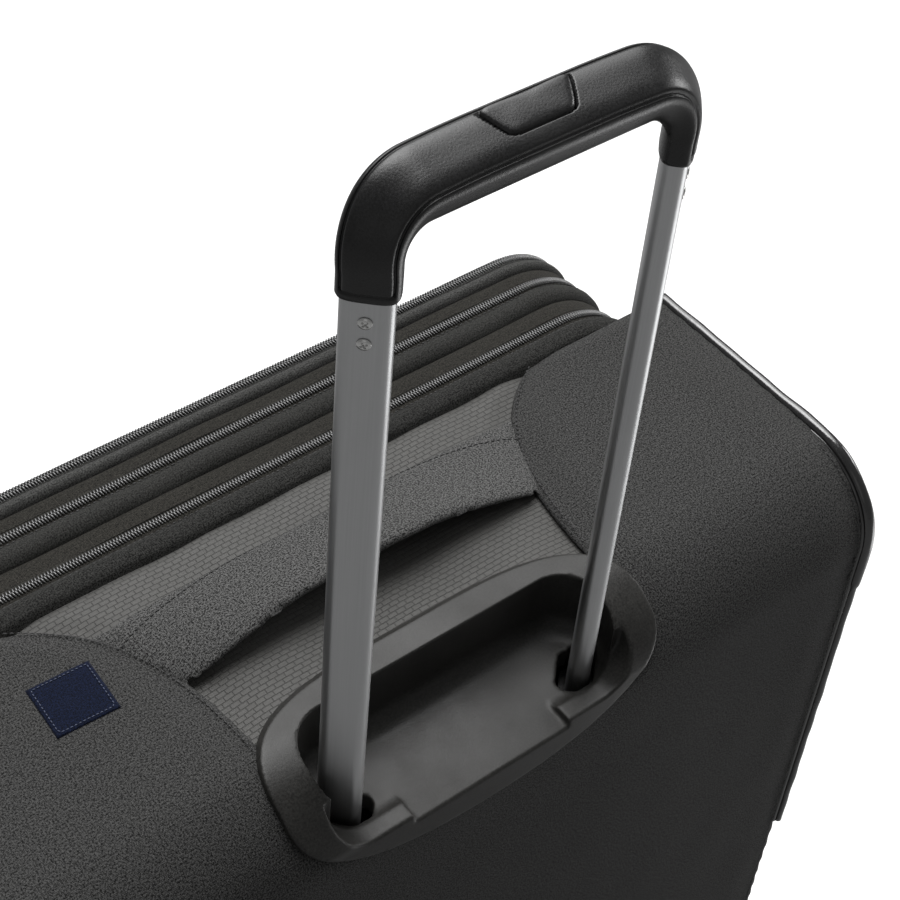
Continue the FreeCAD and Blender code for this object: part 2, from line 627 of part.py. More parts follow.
# ---- zip sliders ----
def make_slider(name, y, z):
    """A slider with a bail bar, and the pull that hangs on the bail."""
    body = box(SLIDER_BASE_X, SLIDER_TOP_X, y - 5, y + 5, z - 8, z + 8)
    for edge in (y - 4, y + 3):
        body = body.fuse(box(SLIDER_TOP_X - 0.5, BAIL_X + 0.8, edge, edge + 1, z - 1, z + 1))
    body = body.fuse(Part.makeCylinder(BAIL_R, 8.0, V(BAIL_X, y - 4, z), Y_AXIS))
    keep(name, body.removeSplitter())
    eye = Part.makeCylinder(2.2, 5.2, V(BAIL_X, y - 2.6, z), Y_AXIS)
    tab = box(BAIL_X - 0.8, BAIL_X + 0.8, y - 2.6, y + 2.6, z - PULL_LENGTH, z - 1)
    pull = eye.fuse(tab).cut(Part.makeCylinder(BAIL_R + 0.08, 20, V(BAIL_X, y - 10, z), Y_AXIS))
    keep(name.replace("slider", "pull"), pull.removeSplitter())


def main():
    os.makedirs("parts", exist_ok=True)
    keep("handle_bezel", make_bezel())
    make_tub()
    make_lining()
    make_rings()
    make_lid()
    make_base()
    make_carry_handles()
    make_patch()
    make_channels()
    make_inner_tubes()
    make_grip()
    make_button()
    for name, (x, y) in CASTERS.items():
        make_caster(name, x, y)
    for name, (y, z) in SLIDERS.items():
        make_slider(name, y, z)
    for name, shape in SHAPES.items():
        shape.exportStep("parts/" + name + ".step")
        print(name, len(shape.Solids), round(shape.Volume / 1000, 2))


if __name__ == "__main__":
    main()
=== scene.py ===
import json
import math

import bpy
import bmesh
import numpy as np
from mathutils import Matrix, Vector


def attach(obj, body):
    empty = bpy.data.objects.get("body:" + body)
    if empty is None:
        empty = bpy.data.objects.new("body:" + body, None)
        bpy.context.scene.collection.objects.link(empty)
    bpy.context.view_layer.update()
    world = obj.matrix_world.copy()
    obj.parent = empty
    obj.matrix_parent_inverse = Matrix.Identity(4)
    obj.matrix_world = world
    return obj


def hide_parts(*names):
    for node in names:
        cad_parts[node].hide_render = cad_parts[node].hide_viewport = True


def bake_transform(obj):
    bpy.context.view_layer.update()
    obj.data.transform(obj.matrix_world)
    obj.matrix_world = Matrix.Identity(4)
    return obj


# Softside upright suitcase. Shapes are worked out in millimetres and made in metres.

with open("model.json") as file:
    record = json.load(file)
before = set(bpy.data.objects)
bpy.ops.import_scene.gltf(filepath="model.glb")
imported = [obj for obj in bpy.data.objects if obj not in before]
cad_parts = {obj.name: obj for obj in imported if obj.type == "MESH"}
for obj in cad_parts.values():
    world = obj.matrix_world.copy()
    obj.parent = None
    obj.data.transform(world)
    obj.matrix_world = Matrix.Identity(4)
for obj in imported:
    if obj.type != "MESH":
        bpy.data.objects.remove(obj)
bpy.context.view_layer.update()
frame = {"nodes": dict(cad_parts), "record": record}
MM = 0.001

# ---- sizes (mm)
TOP, BOTTOM, BACK = 742.0, 66.0, 140.0
EDGE_R = 45.0
SIDE_X = 234.0
TUB_FRONT = -18.5
RING_HALF, RING_LOW, RING_HIGH, RING_R = 232.0, 68.0, 741.0, 50.0
ZIP_EXPANSION, ZIP_MAIN, ZIP_POCKET = -36.0, -66.0, -88.0
HINGE_LOW, HINGE_HIGH = 100.0, 709.0
TUBE_X, TUBE_Y = 67.5, 120.0
LINING_BACK = 131.4     # just in front of the board behind the lining
BUTTON_Y = 115.6
BUTTON_LOW, BUTTON_TOP, BUTTON_LEAN = 1038.6, 1046.9, 0.364
WELL_FLOOR, WELL_GAP = 1040.8, 0.75     # the grip's recess round the button
GRIP_LOW, COLLAR_Z = 1003.0, 1006.4
GRIP_CORNER, LEG_TOP, BAR_Z = 20.6, 1015.0, 1035.6
WHEEL_APART, WHEEL_TRAIL, WHEEL_R = 11.5, 14.0, 25.0
PATCH_X, PATCH_Y, PATCH_HALF, PATCH_MEAN = 140.7, 31.2, (14.8, 14.3), 14.5
SIDE_HANDLE_Z, SIDE_HANDLE_HALF = 420.0, 108.0


# ---- node helpers
class Material:
    """A node material with short calls for the nodes it needs."""

    def __init__(self, name):
        self.mat = bpy.data.materials.new(name)
        self.mat.use_nodes = True
        self.tree = self.mat.node_tree
        self.bsdf = self.tree.nodes["Principled BSDF"]

    def node(self, kind, **values):
        n = self.tree.nodes.new(kind)
        for key, value in values.items():
            if key in n.inputs:
                self.link(value, n.inputs[key])
            else:
                setattr(n, key, value)
        return n

    def link(self, value, socket):
        if isinstance(value, bpy.types.NodeSocket):
            self.tree.links.new(value, socket)
        else:
            socket.default_value = value

    def math(self, operation, a, b=0.0):
        n = self.tree.nodes.new("ShaderNodeMath")
        n.operation = operation
        self.link(a, n.inputs[0])
        self.link(b, n.inputs[1])
        return n.outputs[0]

    def add(self, a, b):
        return self.math("ADD", a, b)

    def multiply(self, a, b):
        return self.math("MULTIPLY", a, b)

    def about(self, value, middle, gain):
        """How far a value is above a middle one, times a gain."""
        return self.multiply(self.math("SUBTRACT", value, middle), gain)

    def sine(self, value):
        return self.math("SINE", self.multiply(value, math.pi))

    def ramp(self, value, low, high, out_low=0.0, out_high=1.0):
        n = self.tree.nodes.new("ShaderNodeMapRange")
        n.clamp = True
        for i, v in enumerate((value, low, high, out_low, out_high)):
            self.link(v, n.inputs[i])
        return n.outputs[0]

    def mix(self, factor, a, b):
        n = self.tree.nodes.new("ShaderNodeMix")
        n.data_type = "RGBA"
        self.link(factor, n.inputs[0])
        self.link(a, n.inputs[6])
        self.link(b, n.inputs[7])
        return n.outputs[2]

    def coords(self, scale, kind="UV"):
        """Coordinates times a scale, which is one number or three."""
        source = self.tree.nodes.new("ShaderNodeTexCoord").outputs[kind]
        n = self.tree.nodes.new("ShaderNodeMapping")
        self.tree.links.new(source, n.inputs[0])
        n.inputs["Scale"].default_value = scale if isinstance(scale, tuple) else (scale,) * 3
        return n.outputs[0]

    def noise(self, scale, detail=2.0, rough=0.5, kind="UV"):
        n = self.tree.nodes.new("ShaderNodeTexNoise")
        self.link(self.coords(scale, kind), n.inputs["Vector"])
        n.inputs["Scale"].default_value = 1.0
        n.inputs["Detail"].default_value = detail
        n.inputs["Roughness"].default_value = rough
        return n.outputs["Fac"]

    def bump(self, height, distance, strength=1.0, after=None):
        n = self.tree.nodes.new("ShaderNodeBump")
        self.link(height, n.inputs["Height"])
        n.inputs["Distance"].default_value = distance
        n.inputs["Strength"].default_value = strength
        if after is not None:
            self.tree.links.new(after, n.inputs["Normal"])
        return n.outputs[0]

    def finish(self, color=None, rough=None, normal=None, **others):
        for value, name in ((color, "Base Color"), (rough, "Roughness"), (normal, "Normal")):
            if value is not None:
                self.link(value, self.bsdf.inputs[name])
        for name, value in others.items():
            self.link(value, self.bsdf.inputs[name.replace("_", " ")])
        return self.mat


def shade(base, factor):
    """A colour made lighter or darker."""
    return tuple(min(1.0, c * factor) for c in base) + (1.0,)


def weave_fabric(name, base, pitch=0.62, contrast=0.34, kind="plain", rough=0.86):
    """Woven cloth: threads over and under, each thread with its own tone."""
    m = Material(name)
    threads = 1000 / pitch
    sep = m.node("ShaderNodeSeparateXYZ", Vector=m.coords(threads))
    u, v = sep.outputs[0], sep.outputs[1]
    if kind == "twill":
        over = m.ramp(m.math("FRACT", m.multiply(m.add(u, v), 0.34)), 0.42, 0.58)
    else:
        over = m.ramp(m.multiply(m.sine(u), m.sine(v)), -0.15, 0.15)
    warp = m.multiply(m.math("ABSOLUTE", m.sine(u)), over)
    weft = m.multiply(m.math("ABSOLUTE", m.sine(v)), m.math("SUBTRACT", 1.0, over))
    height = m.add(warp, weft)
    warp_tone = m.noise((threads, 0.24 * threads, 1), 1.0)
    weft_tone = m.noise((0.24 * threads, threads, 1), 1.0)
    tone = m.node("ShaderNodeMix", A=warp_tone, B=weft_tone).outputs[0]
    m.link(over, tone.node.inputs[0])
    grain = m.noise(1250, 1.0, 0.8)
    light = m.add(m.about(tone, 0.5, 4.0 * contrast), m.about(grain, 0.5, 9.0 * contrast))
    light = m.add(light, m.about(height, 0.6, 0.9 * contrast))
    light = m.add(light, m.about(m.noise(9), 0.5, 0.16))
    color = m.mix(m.ramp(light, -0.6, 0.6), shade(base, 0.14), shade(base, 1.95))
    dust = m.ramp(m.noise(60, 4.0, 0.7), 0.66, 0.86, 0.0, 0.12)
    color = m.mix(dust, color, shade(base, 2.6))
    normal = m.bump(height, 0.22 * MM, 0.55)
    normal = m.bump(grain, 0.3 * MM, 0.25, normal)
    return m.finish(color, m.ramp(grain, 0.3, 0.7, rough - 0.07, rough + 0.07), normal,
                    Sheen_Weight=0.03, Sheen_Roughness=0.5, Specular_IOR_Level=0.08)


def ripstop_fabric(name, base):
    """Smooth fine cloth with a raised brick of reinforcing threads."""
    m = Material(name)
    brick = m.tree.nodes.new("ShaderNodeTexBrick")
    brick.offset = 0.5
    m.link(m.coords(1000), brick.inputs["Vector"])
    for key, value in (("Scale", 1.0), ("Brick Width", 4.6), ("Row Height", 2.5),
                       ("Mortar Size", 0.3), ("Mortar Smooth", 0.8), ("Bias", 0.0)):
        brick.inputs[key].default_value = value
    brick.inputs["Color1"].default_value = shade(base, 1.0)
    brick.inputs["Color2"].default_value = shade(base, 1.13)
    brick.inputs["Mortar"].default_value = shade(base, 0.50)
    fine = m.node("ShaderNodeSeparateXYZ", Vector=m.coords(1000 / 0.34))
    weave = m.multiply(m.sine(fine.outputs[0]), m.sine(fine.outputs[1]))
    grain = m.noise(700, 2.0, 0.6)
    blend = m.node("ShaderNodeMix", data_type="RGBA", blend_type="MULTIPLY")
    m.link(1.0, blend.inputs[0])
    m.link(brick.outputs["Color"], blend.inputs[6])
    low, high = (0.84,) * 3 + (1,), (1.16,) * 3 + (1,)
    m.link(m.mix(m.ramp(grain, 0.3, 0.7), low, high), blend.inputs[7])
    normal = m.bump(m.math("SUBTRACT", 1.0, brick.outputs["Fac"]), 0.28 * MM, 0.7)
    normal = m.bump(weave, 0.08 * MM, 0.3, normal)
    return m.finish(blend.outputs[2], m.ramp(grain, 0.3, 0.7, 0.52, 0.66), normal,
                    Sheen_Weight=0.06, Specular_IOR_Level=0.35)


def moulded(name, base, rough=0.5, grain_scale=900.0, grain_depth=0.05, spread=0.08,
            wear=0.10, specular=0.5, grain_and_glint_speckle=0.0):
    """Moulded plastic with a spark-textured surface and light rubbing; bright flecks in its fine
    grain colour are partly painted glints.
    """
    m = Material(name)
    fine = m.noise(grain_scale, 3.0, 0.6, "Object")
    wide = m.noise(26, 4.0, 0.6, "Object")
    scuff = m.noise((40, 260, 90), 3.0, 0.7, "Object")
    # painted glints: the extra fine-grain contrast adds bright flecks to the colour, grain tone
    # plus painted sparkle of light
    tone = m.add(m.about(fine, 0.5, 1.5 + grain_and_glint_speckle), m.about(wide, 0.5, 0.5))
    color = m.mix(m.ramp(tone, -0.5, 0.5), shade(base, 0.55), shade(base, 1.5))
    color = m.mix(m.ramp(scuff, 0.68, 0.84, 0.0, wear), color, shade(base, 3.2))
    roughness = m.add(m.ramp(wide, 0.3, 0.7, rough - spread, rough + spread),
                      m.ramp(fine, 0.3, 0.7, -0.05, 0.05))
    normal = m.bump(fine, grain_depth * MM, 0.8)
    return m.finish(color, roughness, normal, Specular_IOR_Level=specular)


def satin_metal(name, base, rough=0.34, stretch=(1500, 1500, 14)):
    """Drawn metal with fine lines along its length."""
    m = Material(name)
    lines = m.noise(stretch, 3.0, 0.6, "Object")
    smudge = m.noise((34, 34, 12), 3.0, 0.6, "Object")
    color = m.mix(m.ramp(lines, 0.3, 0.7), shade(base, 0.96), shade(base, 1.04))
    color = m.mix(m.ramp(smudge, 0.5, 0.8, 0.0, 0.14), color, shade(base, 0.72))
    roughness = m.add(m.ramp(smudge, 0.3, 0.7, rough - 0.04, rough + 0.05),
                      m.ramp(lines, 0.3, 0.7, -0.02, 0.02))
    return m.finish(color, roughness, m.bump(lines, 0.01 * MM, 0.3), Metallic=1.0)


# ---- mesh helpers
def waves(points, size, amplitude, seed, count=14):
    """Smooth random height at each point, with features about size mm wide."""
    rng = np.random.RandomState(seed)
    total = np.zeros(points.shape[:-1])
    for _ in range(count):
        direction = rng.normal(size=points.shape[-1])
        direction *= 2 * math.pi / size * rng.uniform(0.6, 1.4) / np.linalg.norm(direction)
        total += np.sin(points @ direction + rng.uniform(0, 2 * math.pi))
    return amplitude * total / math.sqrt(count / 2)


def ease(x, low, high):
    t = np.clip((np.asarray(x, float) - low) / (high - low), 0, 1)
    return t * t * (3 - 2 * t)


def along(line):
    """Distance along a line at each of its points."""
    return np.r_[0, np.cumsum(np.linalg.norm(np.diff(line, axis=0), axis=1))]


def interpolate(at, s, rows):
    """Rows of three numbers at distances at, from rows given at distances s."""
    return np.stack([np.interp(at, s, rows[:, k]) for k in range(3)], 1)


def unit(vectors):
    return vectors / np.linalg.norm(vectors, axis=1, keepdims=True)


def circle(count):
    return np.arange(count) * 2 * math.pi / count


def pair(a, b):
    """Two coordinates over one grid."""
    return np.stack(np.broadcast_arrays(a, b), -1)


def add_object(name, data):
    obj = bpy.data.objects.new(name, data)
    bpy.context.scene.collection.objects.link(obj)
    return obj


def edit_mesh(obj, *steps):
    """Runs steps on the object's mesh, each given it as a BMesh."""
    bm = bmesh.new()
    bm.from_mesh(obj.data)
    for step in steps:
        step(bm)
    bm.to_mesh(obj.data)
    bm.free()
    return obj


def merge_doubles(bm):
    bmesh.ops.remove_doubles(bm, verts=bm.verts, dist=0.00001)


def turn_outward(bm):
    bmesh.ops.recalc_face_normals(bm, faces=bm.faces)


def fill_holes(bm):
    bmesh.ops.holes_fill(bm, edges=[e for e in bm.edges if e.is_boundary])


def melt_flat(bm):
    bmesh.ops.dissolve_limit(bm, angle_limit=0.02, verts=bm.verts, edges=bm.edges)


def dress(obj, material, body, smooth=True):
    """Gives a piece its material and body."""
    obj.data.materials.clear()
    obj.data.materials.append(material)
    if smooth:
        obj.data.shade_smooth()
    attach(obj, body)
    return obj


def make_object(name, verts, faces, loop_uv=None):
    mesh = bpy.data.meshes.new(name)
    mesh.from_pydata((np.asarray(verts, float) * MM).tolist(), [], [list(f) for f in faces])
    if loop_uv is not None:
        layer = mesh.uv_layers.new(name="UVMap")
        layer.data.foreach_set("uv", (np.asarray(loop_uv, float) * MM).ravel())
    mesh.update()
    return add_object(name, mesh)


def grid_faces(rows, cols, closed_rows, closed_cols):
    i = np.arange(rows if closed_rows else rows - 1)
    j = np.arange(cols if closed_cols else cols - 1)
    a, b = np.meshgrid(i, j, indexing="ij")
    a, b = a.ravel(), b.ravel()
    return a, b, (a + 1) % rows, (b + 1) % cols


def grid_object(name, points, uv, closed=(False, False)):
    """A quad mesh from points[row, column]; uv has one more row or column where closed."""
    rows, cols = points.shape[:2]
    a, b, a1, b1 = grid_faces(rows, cols, *closed)
    faces = np.stack([a * cols + b, a1 * cols + b, a1 * cols + b1, a * cols + b1], 1)
    loops = np.stack([uv[a, b], uv[a + 1, b], uv[a + 1, b + 1], uv[a, b + 1]], 1)
    return make_object(name, points.reshape(-1, 3), faces, loops.reshape(-1, 2))


def bake_modifiers(obj):
    """Applies every modifier to the mesh."""
    graph = bpy.context.evaluated_depsgraph_get()
    mesh = bpy.data.meshes.new_from_object(obj.evaluated_get(graph))
    old = obj.data
    obj.modifiers.clear()
    obj.data = mesh
    bpy.data.meshes.remove(old)
    return obj


def face_outward(obj):
    return edit_mesh(obj, merge_doubles, turn_outward)


def close_ends(obj):
    return edit_mesh(obj, fill_holes, turn_outward)


def thicken(obj, thickness):
    """Gives a sheet a thickness on its inner side."""
    solid = obj.modifiers.new("thickness", "SOLIDIFY")
    solid.thickness = thickness * MM
    solid.offset = -1.0
    return bake_modifiers(obj)


def capsule_line(name, starts, ends, radius, normals, flat=0.75):
    """Many short rounded threads in one mesh, each from a start to an end."""
    sides = 6
    starts, ends, normals = (np.asarray(a, float) for a in (starts, ends, normals))
    run = ends - starts
    length = np.linalg.norm(run, axis=1, keepdims=True)
    run /= np.maximum(length, 1e-9)
    normals = unit(normals - run * (normals * run).sum(1, keepdims=True))
    across = np.cross(run, normals)
    turn = circle(sides)
    stations = [(0.0, 0.35, 0.0), (0.18, 0.9, 0.5), (0.5, 1.0, 1.0), (0.82, 0.9, 0.5),
                (1.0, 0.35, 0.0)]
    rings = []
    for t, size, lift in stations:
        centre = starts + run * length * t + normals * radius * (0.2 + 0.45 * lift)
        ring = (centre[:, None] + across[:, None] * (radius * size * np.cos(turn))[None, :, None]
                + normals[:, None] * (flat * radius * size * np.sin(turn))[None, :, None])
        rings.append(ring)
    points = np.stack(rings, 1)
    count, levels = points.shape[0], len(stations)
    base = np.arange(count)[:, None, None] * levels * sides
    lev = np.arange(levels - 1)[None, :, None] * sides
    side = np.arange(sides)[None, None, :]
    nxt = (side + 1) % sides
    quads = np.stack([base + lev + side, base + lev + nxt, base + lev + sides + nxt,
                      base + lev + sides + side], -1).reshape(-1, 4)
    caps = np.arange(count)[:, None] * levels * sides
    first = caps + np.arange(sides)[None, ::-1]
    last = caps + (levels - 1) * sides + np.arange(sides)[None, :]
    faces = quads.tolist() + first.tolist() + last.tolist()
    return make_object(name, points.reshape(-1, 3), faces)


def resample(points, step):
    """Points at equal steps along a line."""
    points = np.asarray(points, float)
    lengths = along(points)
    count = max(2, int(round(lengths[-1] / step)))
    return interpolate(np.linspace(0, lengths[-1], count + 1), lengths, points)


def stitch_row(name, line, normals, step=3.0, fill=0.68, radius=0.42):
    """A line of stitches lying on a surface, with its outward direction."""
    line = np.asarray(line, float)
    normals = np.broadcast_to(np.asarray(normals, float), line.shape)
    ends = resample(line, step)
    lengths = along(line)
    up = interpolate(np.linspace(0, lengths[-1], len(ends)), lengths, normals)
    starts = ends[:-1]
    return capsule_line(name, starts, starts + (ends[1:] - starts) * fill, radius, up[:-1])


# ---- materials
CHARCOAL = (0.036, 0.0358, 0.0352)
SHELL = weave_fabric("shell_weave", CHARCOAL, contrast=0.42)
STRAP = weave_fabric("strap_weave", (0.058, 0.0577, 0.0568), pitch=0.7, contrast=0.5)
PAD = weave_fabric("strip_weave", (0.024, 0.024, 0.0225), pitch=0.6, contrast=0.3)
PALE_PAD = weave_fabric("pale_strip_weave", (0.042, 0.042, 0.0405), pitch=0.6, contrast=0.3)
TWILL = weave_fabric("dark_twill", (0.019, 0.019, 0.018), pitch=0.9, contrast=0.4,
                     kind="twill")
TAPE = weave_fabric("zip_tape", (0.019, 0.018, 0.0155), pitch=0.8, contrast=0.3,
                    kind="twill", rough=0.8)
LINING = weave_fabric("lining_weave", (0.09, 0.094, 0.098), pitch=0.4, contrast=0.2,
                      rough=0.7)
PATCH = weave_fabric("patch_weave", (0.004, 0.0065, 0.018), pitch=0.5, contrast=0.3)
RIPSTOP = ripstop_fabric("ripstop", (0.047, 0.046, 0.043))
THREAD = moulded("thread", (0.016, 0.016, 0.016), rough=0.6, grain_scale=2500, wear=0.0)
NAVY_THREAD = moulded("navy_thread", (0.03, 0.04, 0.075), rough=0.6, grain_scale=2500,
                      wear=0.0)
PIPING = moulded("piping_vinyl", (0.008, 0.008, 0.008), rough=0.2, grain_scale=500,
                 grain_depth=0.10, wear=0.03, specular=1.0)
COIL = moulded("zip_coil", (0.045, 0.045, 0.045), rough=0.22, grain_scale=1500,
               grain_depth=0.01, wear=0.0, specular=0.9)
# bezel and grip: extra fine-grain contrast, with bright flecks that are partly painted glints
BEZEL = moulded("bezel_plastic", (0.0165, 0.016, 0.0148), rough=0.45, grain_scale=1000,
                grain_depth=0.06, wear=0.04, specular=0.3, grain_and_glint_speckle=1.2)
BASE = moulded("base_plastic", (0.014, 0.014, 0.014), rough=0.5, grain_scale=1200,
               grain_depth=0.06)
GRIP = moulded("grip_plastic", (0.006, 0.006, 0.0062), rough=0.31, grain_scale=1300,
               grain_depth=0.08, spread=0.05, wear=0.03, specular=0.45, grain_and_glint_speckle=2.0)
CASTER = moulded("caster_plastic", (0.012, 0.012, 0.0125), rough=0.38, grain_scale=1300)
TREAD = moulded("wheel_rubber", (0.022, 0.022, 0.022), rough=0.72, grain_scale=700,
                grain_depth=0.1, wear=0.2)
ALUMINIUM = satin_metal("tube_aluminium", (0.47, 0.475, 0.48), rough=0.36)
STEEL = satin_metal("steel_parts", (0.62, 0.62, 0.61), rough=0.22, stretch=500)
GUNMETAL = satin_metal("slider_metal", (0.11, 0.11, 0.115), rough=0.3, stretch=300)
SLOTS = {"shell_fabric": SHELL, "ripstop_fabric": RIPSTOP, "lining_fabric": LINING,
         "handle_webbing": STRAP, "piping_vinyl": PIPING, "zip_nylon": COIL,
         "slider_metal": GUNMETAL, "patch_fabric": PATCH, "bezel_plastic": BASE,
         "grip_plastic": GRIP, "tube_aluminium": ALUMINIUM, "steel_parts": STEEL,
         "caster_plastic": CASTER, "wheel_rubber": TREAD}
SLOT_NAMES = {material: name for name, material in SLOTS.items()}
SLOT_NAMES.update({PAD: "shell_fabric", PALE_PAD: "shell_fabric", TWILL: "shell_fabric",
                   TAPE: "shell_fabric", THREAD: "shell_fabric", NAVY_THREAD: "patch_fabric",
                   BEZEL: "bezel_plastic"})
SLOT_OF = {part["node"]: part["material_slot"] for part in frame["record"]["subparts"]}
for node, part in frame["nodes"].items():
    for surface in part.material_slots:
        surface.material = SLOTS[SLOT_OF[node]]


# ---- tub
def tub_line(lift=0.0, step=3.5, inset_ends=0.0):
    """Rows y, z, ny, nz, s round the tub, top front edge to bottom front edge."""
    front = TUB_FRONT + inset_ends
    cy, high, low = BACK - EDGE_R, TOP - EDGE_R, BOTTOM + EDGE_R
    flat = cy - front
    arc = EDGE_R * math.pi / 2
    tall = high - low
    total = 2 * flat + 2 * arc + tall
    rows = []
    for s in np.linspace(0, total, int(total / step) + 1):
        if s <= flat:
            y, z, a = front + s, high, math.pi / 2
        elif s <= flat + arc:
            y, z, a = cy, high, math.pi / 2 - (s - flat) / EDGE_R
        elif s <= flat + arc + tall:
            y, z, a = cy, high - (s - flat - arc), 0.0
        elif s <= flat + 2 * arc + tall:
            y, z, a = cy, low, -(s - flat - arc - tall) / EDGE_R
        else:
            y, z, a = cy - (s - flat - 2 * arc - tall), low, -math.pi / 2
        reach = EDGE_R + lift
        rows.append((y + reach * math.cos(a), z + reach * math.sin(a),
                     math.cos(a), math.sin(a), s))
    return np.array(rows)


def seam_x(y):
    """Half width of the ripstop panel: where the corner panels' folded edges lie."""
    return 89.0 + 58.0 * np.exp(-(np.asarray(y, float) - TUB_FRONT) / 33.0)


def bezel_x(y, z, inset):
    """Half width of the bezel's oval outline at a point of the tub, or 0 outside it."""
    w = ((y - TUBE_Y) - (z - TOP + 20)) / math.sqrt(2) + 4.0
    power = np.where(w < 0, 3.6, 2.4)
    left = 1 - np.abs(w / (42.0 - inset)) ** power
    return np.where(left > 0, (100.5 - inset) * np.maximum(left, 0) ** (1 / power), 0.0)


def half_line(y, z):
    """Inner edge of the corner panel at each row of the tub."""
    hole = bezel_x(y, z, 6.0)
    on_top = (z > TOP - 20) & (y < 108)
    return np.where(on_top, np.maximum(seam_x(y), hole), hole)


def make_wrap():
    """The back and top cloth in two halves, raised and puckered along its seams."""
    line = tub_line(step=2.5)
    y, z, ny, nz, s = line.T
    inner = half_line(y, z)
    u = np.linspace(0, 1, 84)
    halves = []
    for side in (1, -1):
        x = inner[:, None] + (236.0 - inner[:, None]) * u[None]
        flat = pair(side * x, s[:, None])
        from_inner = x - inner[:, None]
        from_side = 236.0 - x
        near_hole = inner[:, None] > 1
        on_top = ease(-s[:, None], -150, -85)
        lift = 1.4 * ease(from_side, 0, 26) - 1.0 * (1 - ease(from_side, 0, 7))
        lift = lift + np.where(near_hole, -1.6 * (1 - ease(from_inner, 0, 22)), 0)
        lift += on_top * (1.3 * ease(from_inner, 0, 2.0)
                          + 0.9 * ease(from_inner, 2, 20))
        lift += -2.6 * (1 - ease(s[:, None], 0, 6))
        lift += waves(flat, 170.0, 0.55, 3) * ease(from_side, 4, 50)
        lift += waves(flat, 60.0, 0.10, 4)
        pucker = on_top * np.exp(-from_inner / 7.0) * 0.26
        lift += pucker * np.sin(2 * math.pi * s[:, None] / 10.5 + waves(flat, 60, 1.2, 5))
        side_pucker = np.exp(-from_side / 9.0) * 0.26
        lift += side_pucker * np.sin(2 * math.pi * s[:, None] / 13 + waves(flat, 80, 1.3, 6))
        points = np.stack([side * x, y[:, None] + ny[:, None] * lift,
                           z[:, None] + nz[:, None] * lift], -1)
        rows = slice(None, None, side)
        halves.append(grid_object("half", points[rows], flat[rows]))
    wrap = aim_outward(face_outward(join("fabric_shell", halves)), (0, 0, 400))
    thicken(wrap, 2.4)
    dress(wrap, SHELL, "case")
    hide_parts("fabric_wrap")


def join(name, objects):
    """One mesh from several, in order."""
    bm = bmesh.new()
    for obj in objects:
        bm.from_mesh(obj.data)
    mesh = bpy.data.meshes.new(name)
    bm.to_mesh(mesh)
    bm.free()
    for obj in objects:
        old = obj.data
        bpy.data.objects.remove(obj)
        bpy.data.meshes.remove(old)
    return add_object(name, mesh)


def aim_outward(obj, centre):
    """Flips an open surface whose faces look towards a point inside it."""
    middle = Vector(centre) * MM
    votes = sum(1 if p.normal.dot(p.center - middle) > 0 else -1 for p in obj.data.polygons)
    if votes < 0:
        obj.data.flip_normals()
    return obj


def cloth_sheet(name, points, flat, centre, thickness):
    """A thickened sheet that looks away from a point inside the object."""
    return thicken(aim_outward(grid_object(name, points, flat), centre), thickness)


def make_ripstop():
    ys = np.arange(TUB_FRONT - 1.5, 92.0, 1.5)
    u = np.linspace(-1, 1, 160)
    half = seam_x(ys)[:, None] + 7.0
    x = half * u[None]
    y = np.broadcast_to(ys[:, None], x.shape)
    flat = np.stack([x, y], -1)
    edge = half * (1 - np.abs(u))[None]
    lift = -2.3 + 1.7 * ease(edge, 5, 26) + waves(flat, 60, 0.28, 11)
    lift = lift - 1.8 * (1 - ease(y, TUB_FRONT - 1.5, TUB_FRONT + 7))
    lift += 0.25 * np.sin(y / 7.0 + waves(flat, 90, 0.8, 12)) * ease(y, 45, 60)
    points = np.stack([x, y, TOP + lift], -1)
    panel = cloth_sheet("ripstop_panel", points, flat, (0, 0, 400), 1.4)
    dress(panel, RIPSTOP, "case")
    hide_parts("top_ripstop_panel")


def make_side_panels():
    """Crowned padded sides inside the piping."""
    r = EDGE_R
    ys = np.linspace(TUB_FRONT, BACK, 56)
    u = np.linspace(0, 1, 190)
    drop = np.where(ys > BACK - r, r - np.sqrt(np.maximum(r * r - (ys - BACK + r) ** 2, 0)), 0)
    low, high = BOTTOM + drop, TOP - drop
    z = low[:, None] + (high - low)[:, None] * u[None]
    y = np.broadcast_to(ys[:, None], z.shape)
    flat = np.stack([y, z], -1)
    edge = np.minimum(np.minimum(z - low[:, None], high[:, None] - z), BACK - y)
    for side, name in ((1, "right"), (-1, "left")):
        lift = 2.6 * ease(edge, 0, 24) - 1.5 * (1 - ease(edge, 0, 5))
        lift = lift - 2.2 * (1 - ease(y, TUB_FRONT, TUB_FRONT + 6))
        lift += waves(flat, 150, 0.8, 20 + side) * ease(edge, 4, 40)
        lift += waves(flat, 46, 0.2, 24)
        lift += 0.35 * np.exp(-edge / 9) * np.sin(z / 2.1 + y / 2.6)
        points = np.stack([side * (SIDE_X + lift), y, z], -1)
        panel = cloth_sheet("side_panel_" + name + "_padded", points, flat, (0, 60, 400), 2.4)
        dress(panel, SHELL, "case")
        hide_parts("side_panel_" + name)


def tube_mesh(name, line, radii, sides=14, squash=1.0, up=(1.0, 0.0, 0.0)):
    """A round tube along a line, with closed ends."""
    line = np.asarray(line, float)
    radii = np.broadcast_to(np.asarray(radii, float), (len(line),))
    d = unit(np.gradient(line, axis=0))
    n1 = unit(np.asarray(up, float) - d * (d @ np.asarray(up, float))[:, None])
    n2 = np.cross(d, n1)
    turn = circle(sides)
    points = (line[:, None] + radii[:, None, None]
              * (n1[:, None] * np.cos(turn)[None, :, None]
                 + squash * n2[:, None] * np.sin(turn)[None, :, None]))
    around = np.arange(sides + 1) * 2 * math.pi * radii.mean() / sides
    uv = pair(along(line)[:, None], around[None])
    return close_ends(grid_object(name, points, uv, (False, True)))


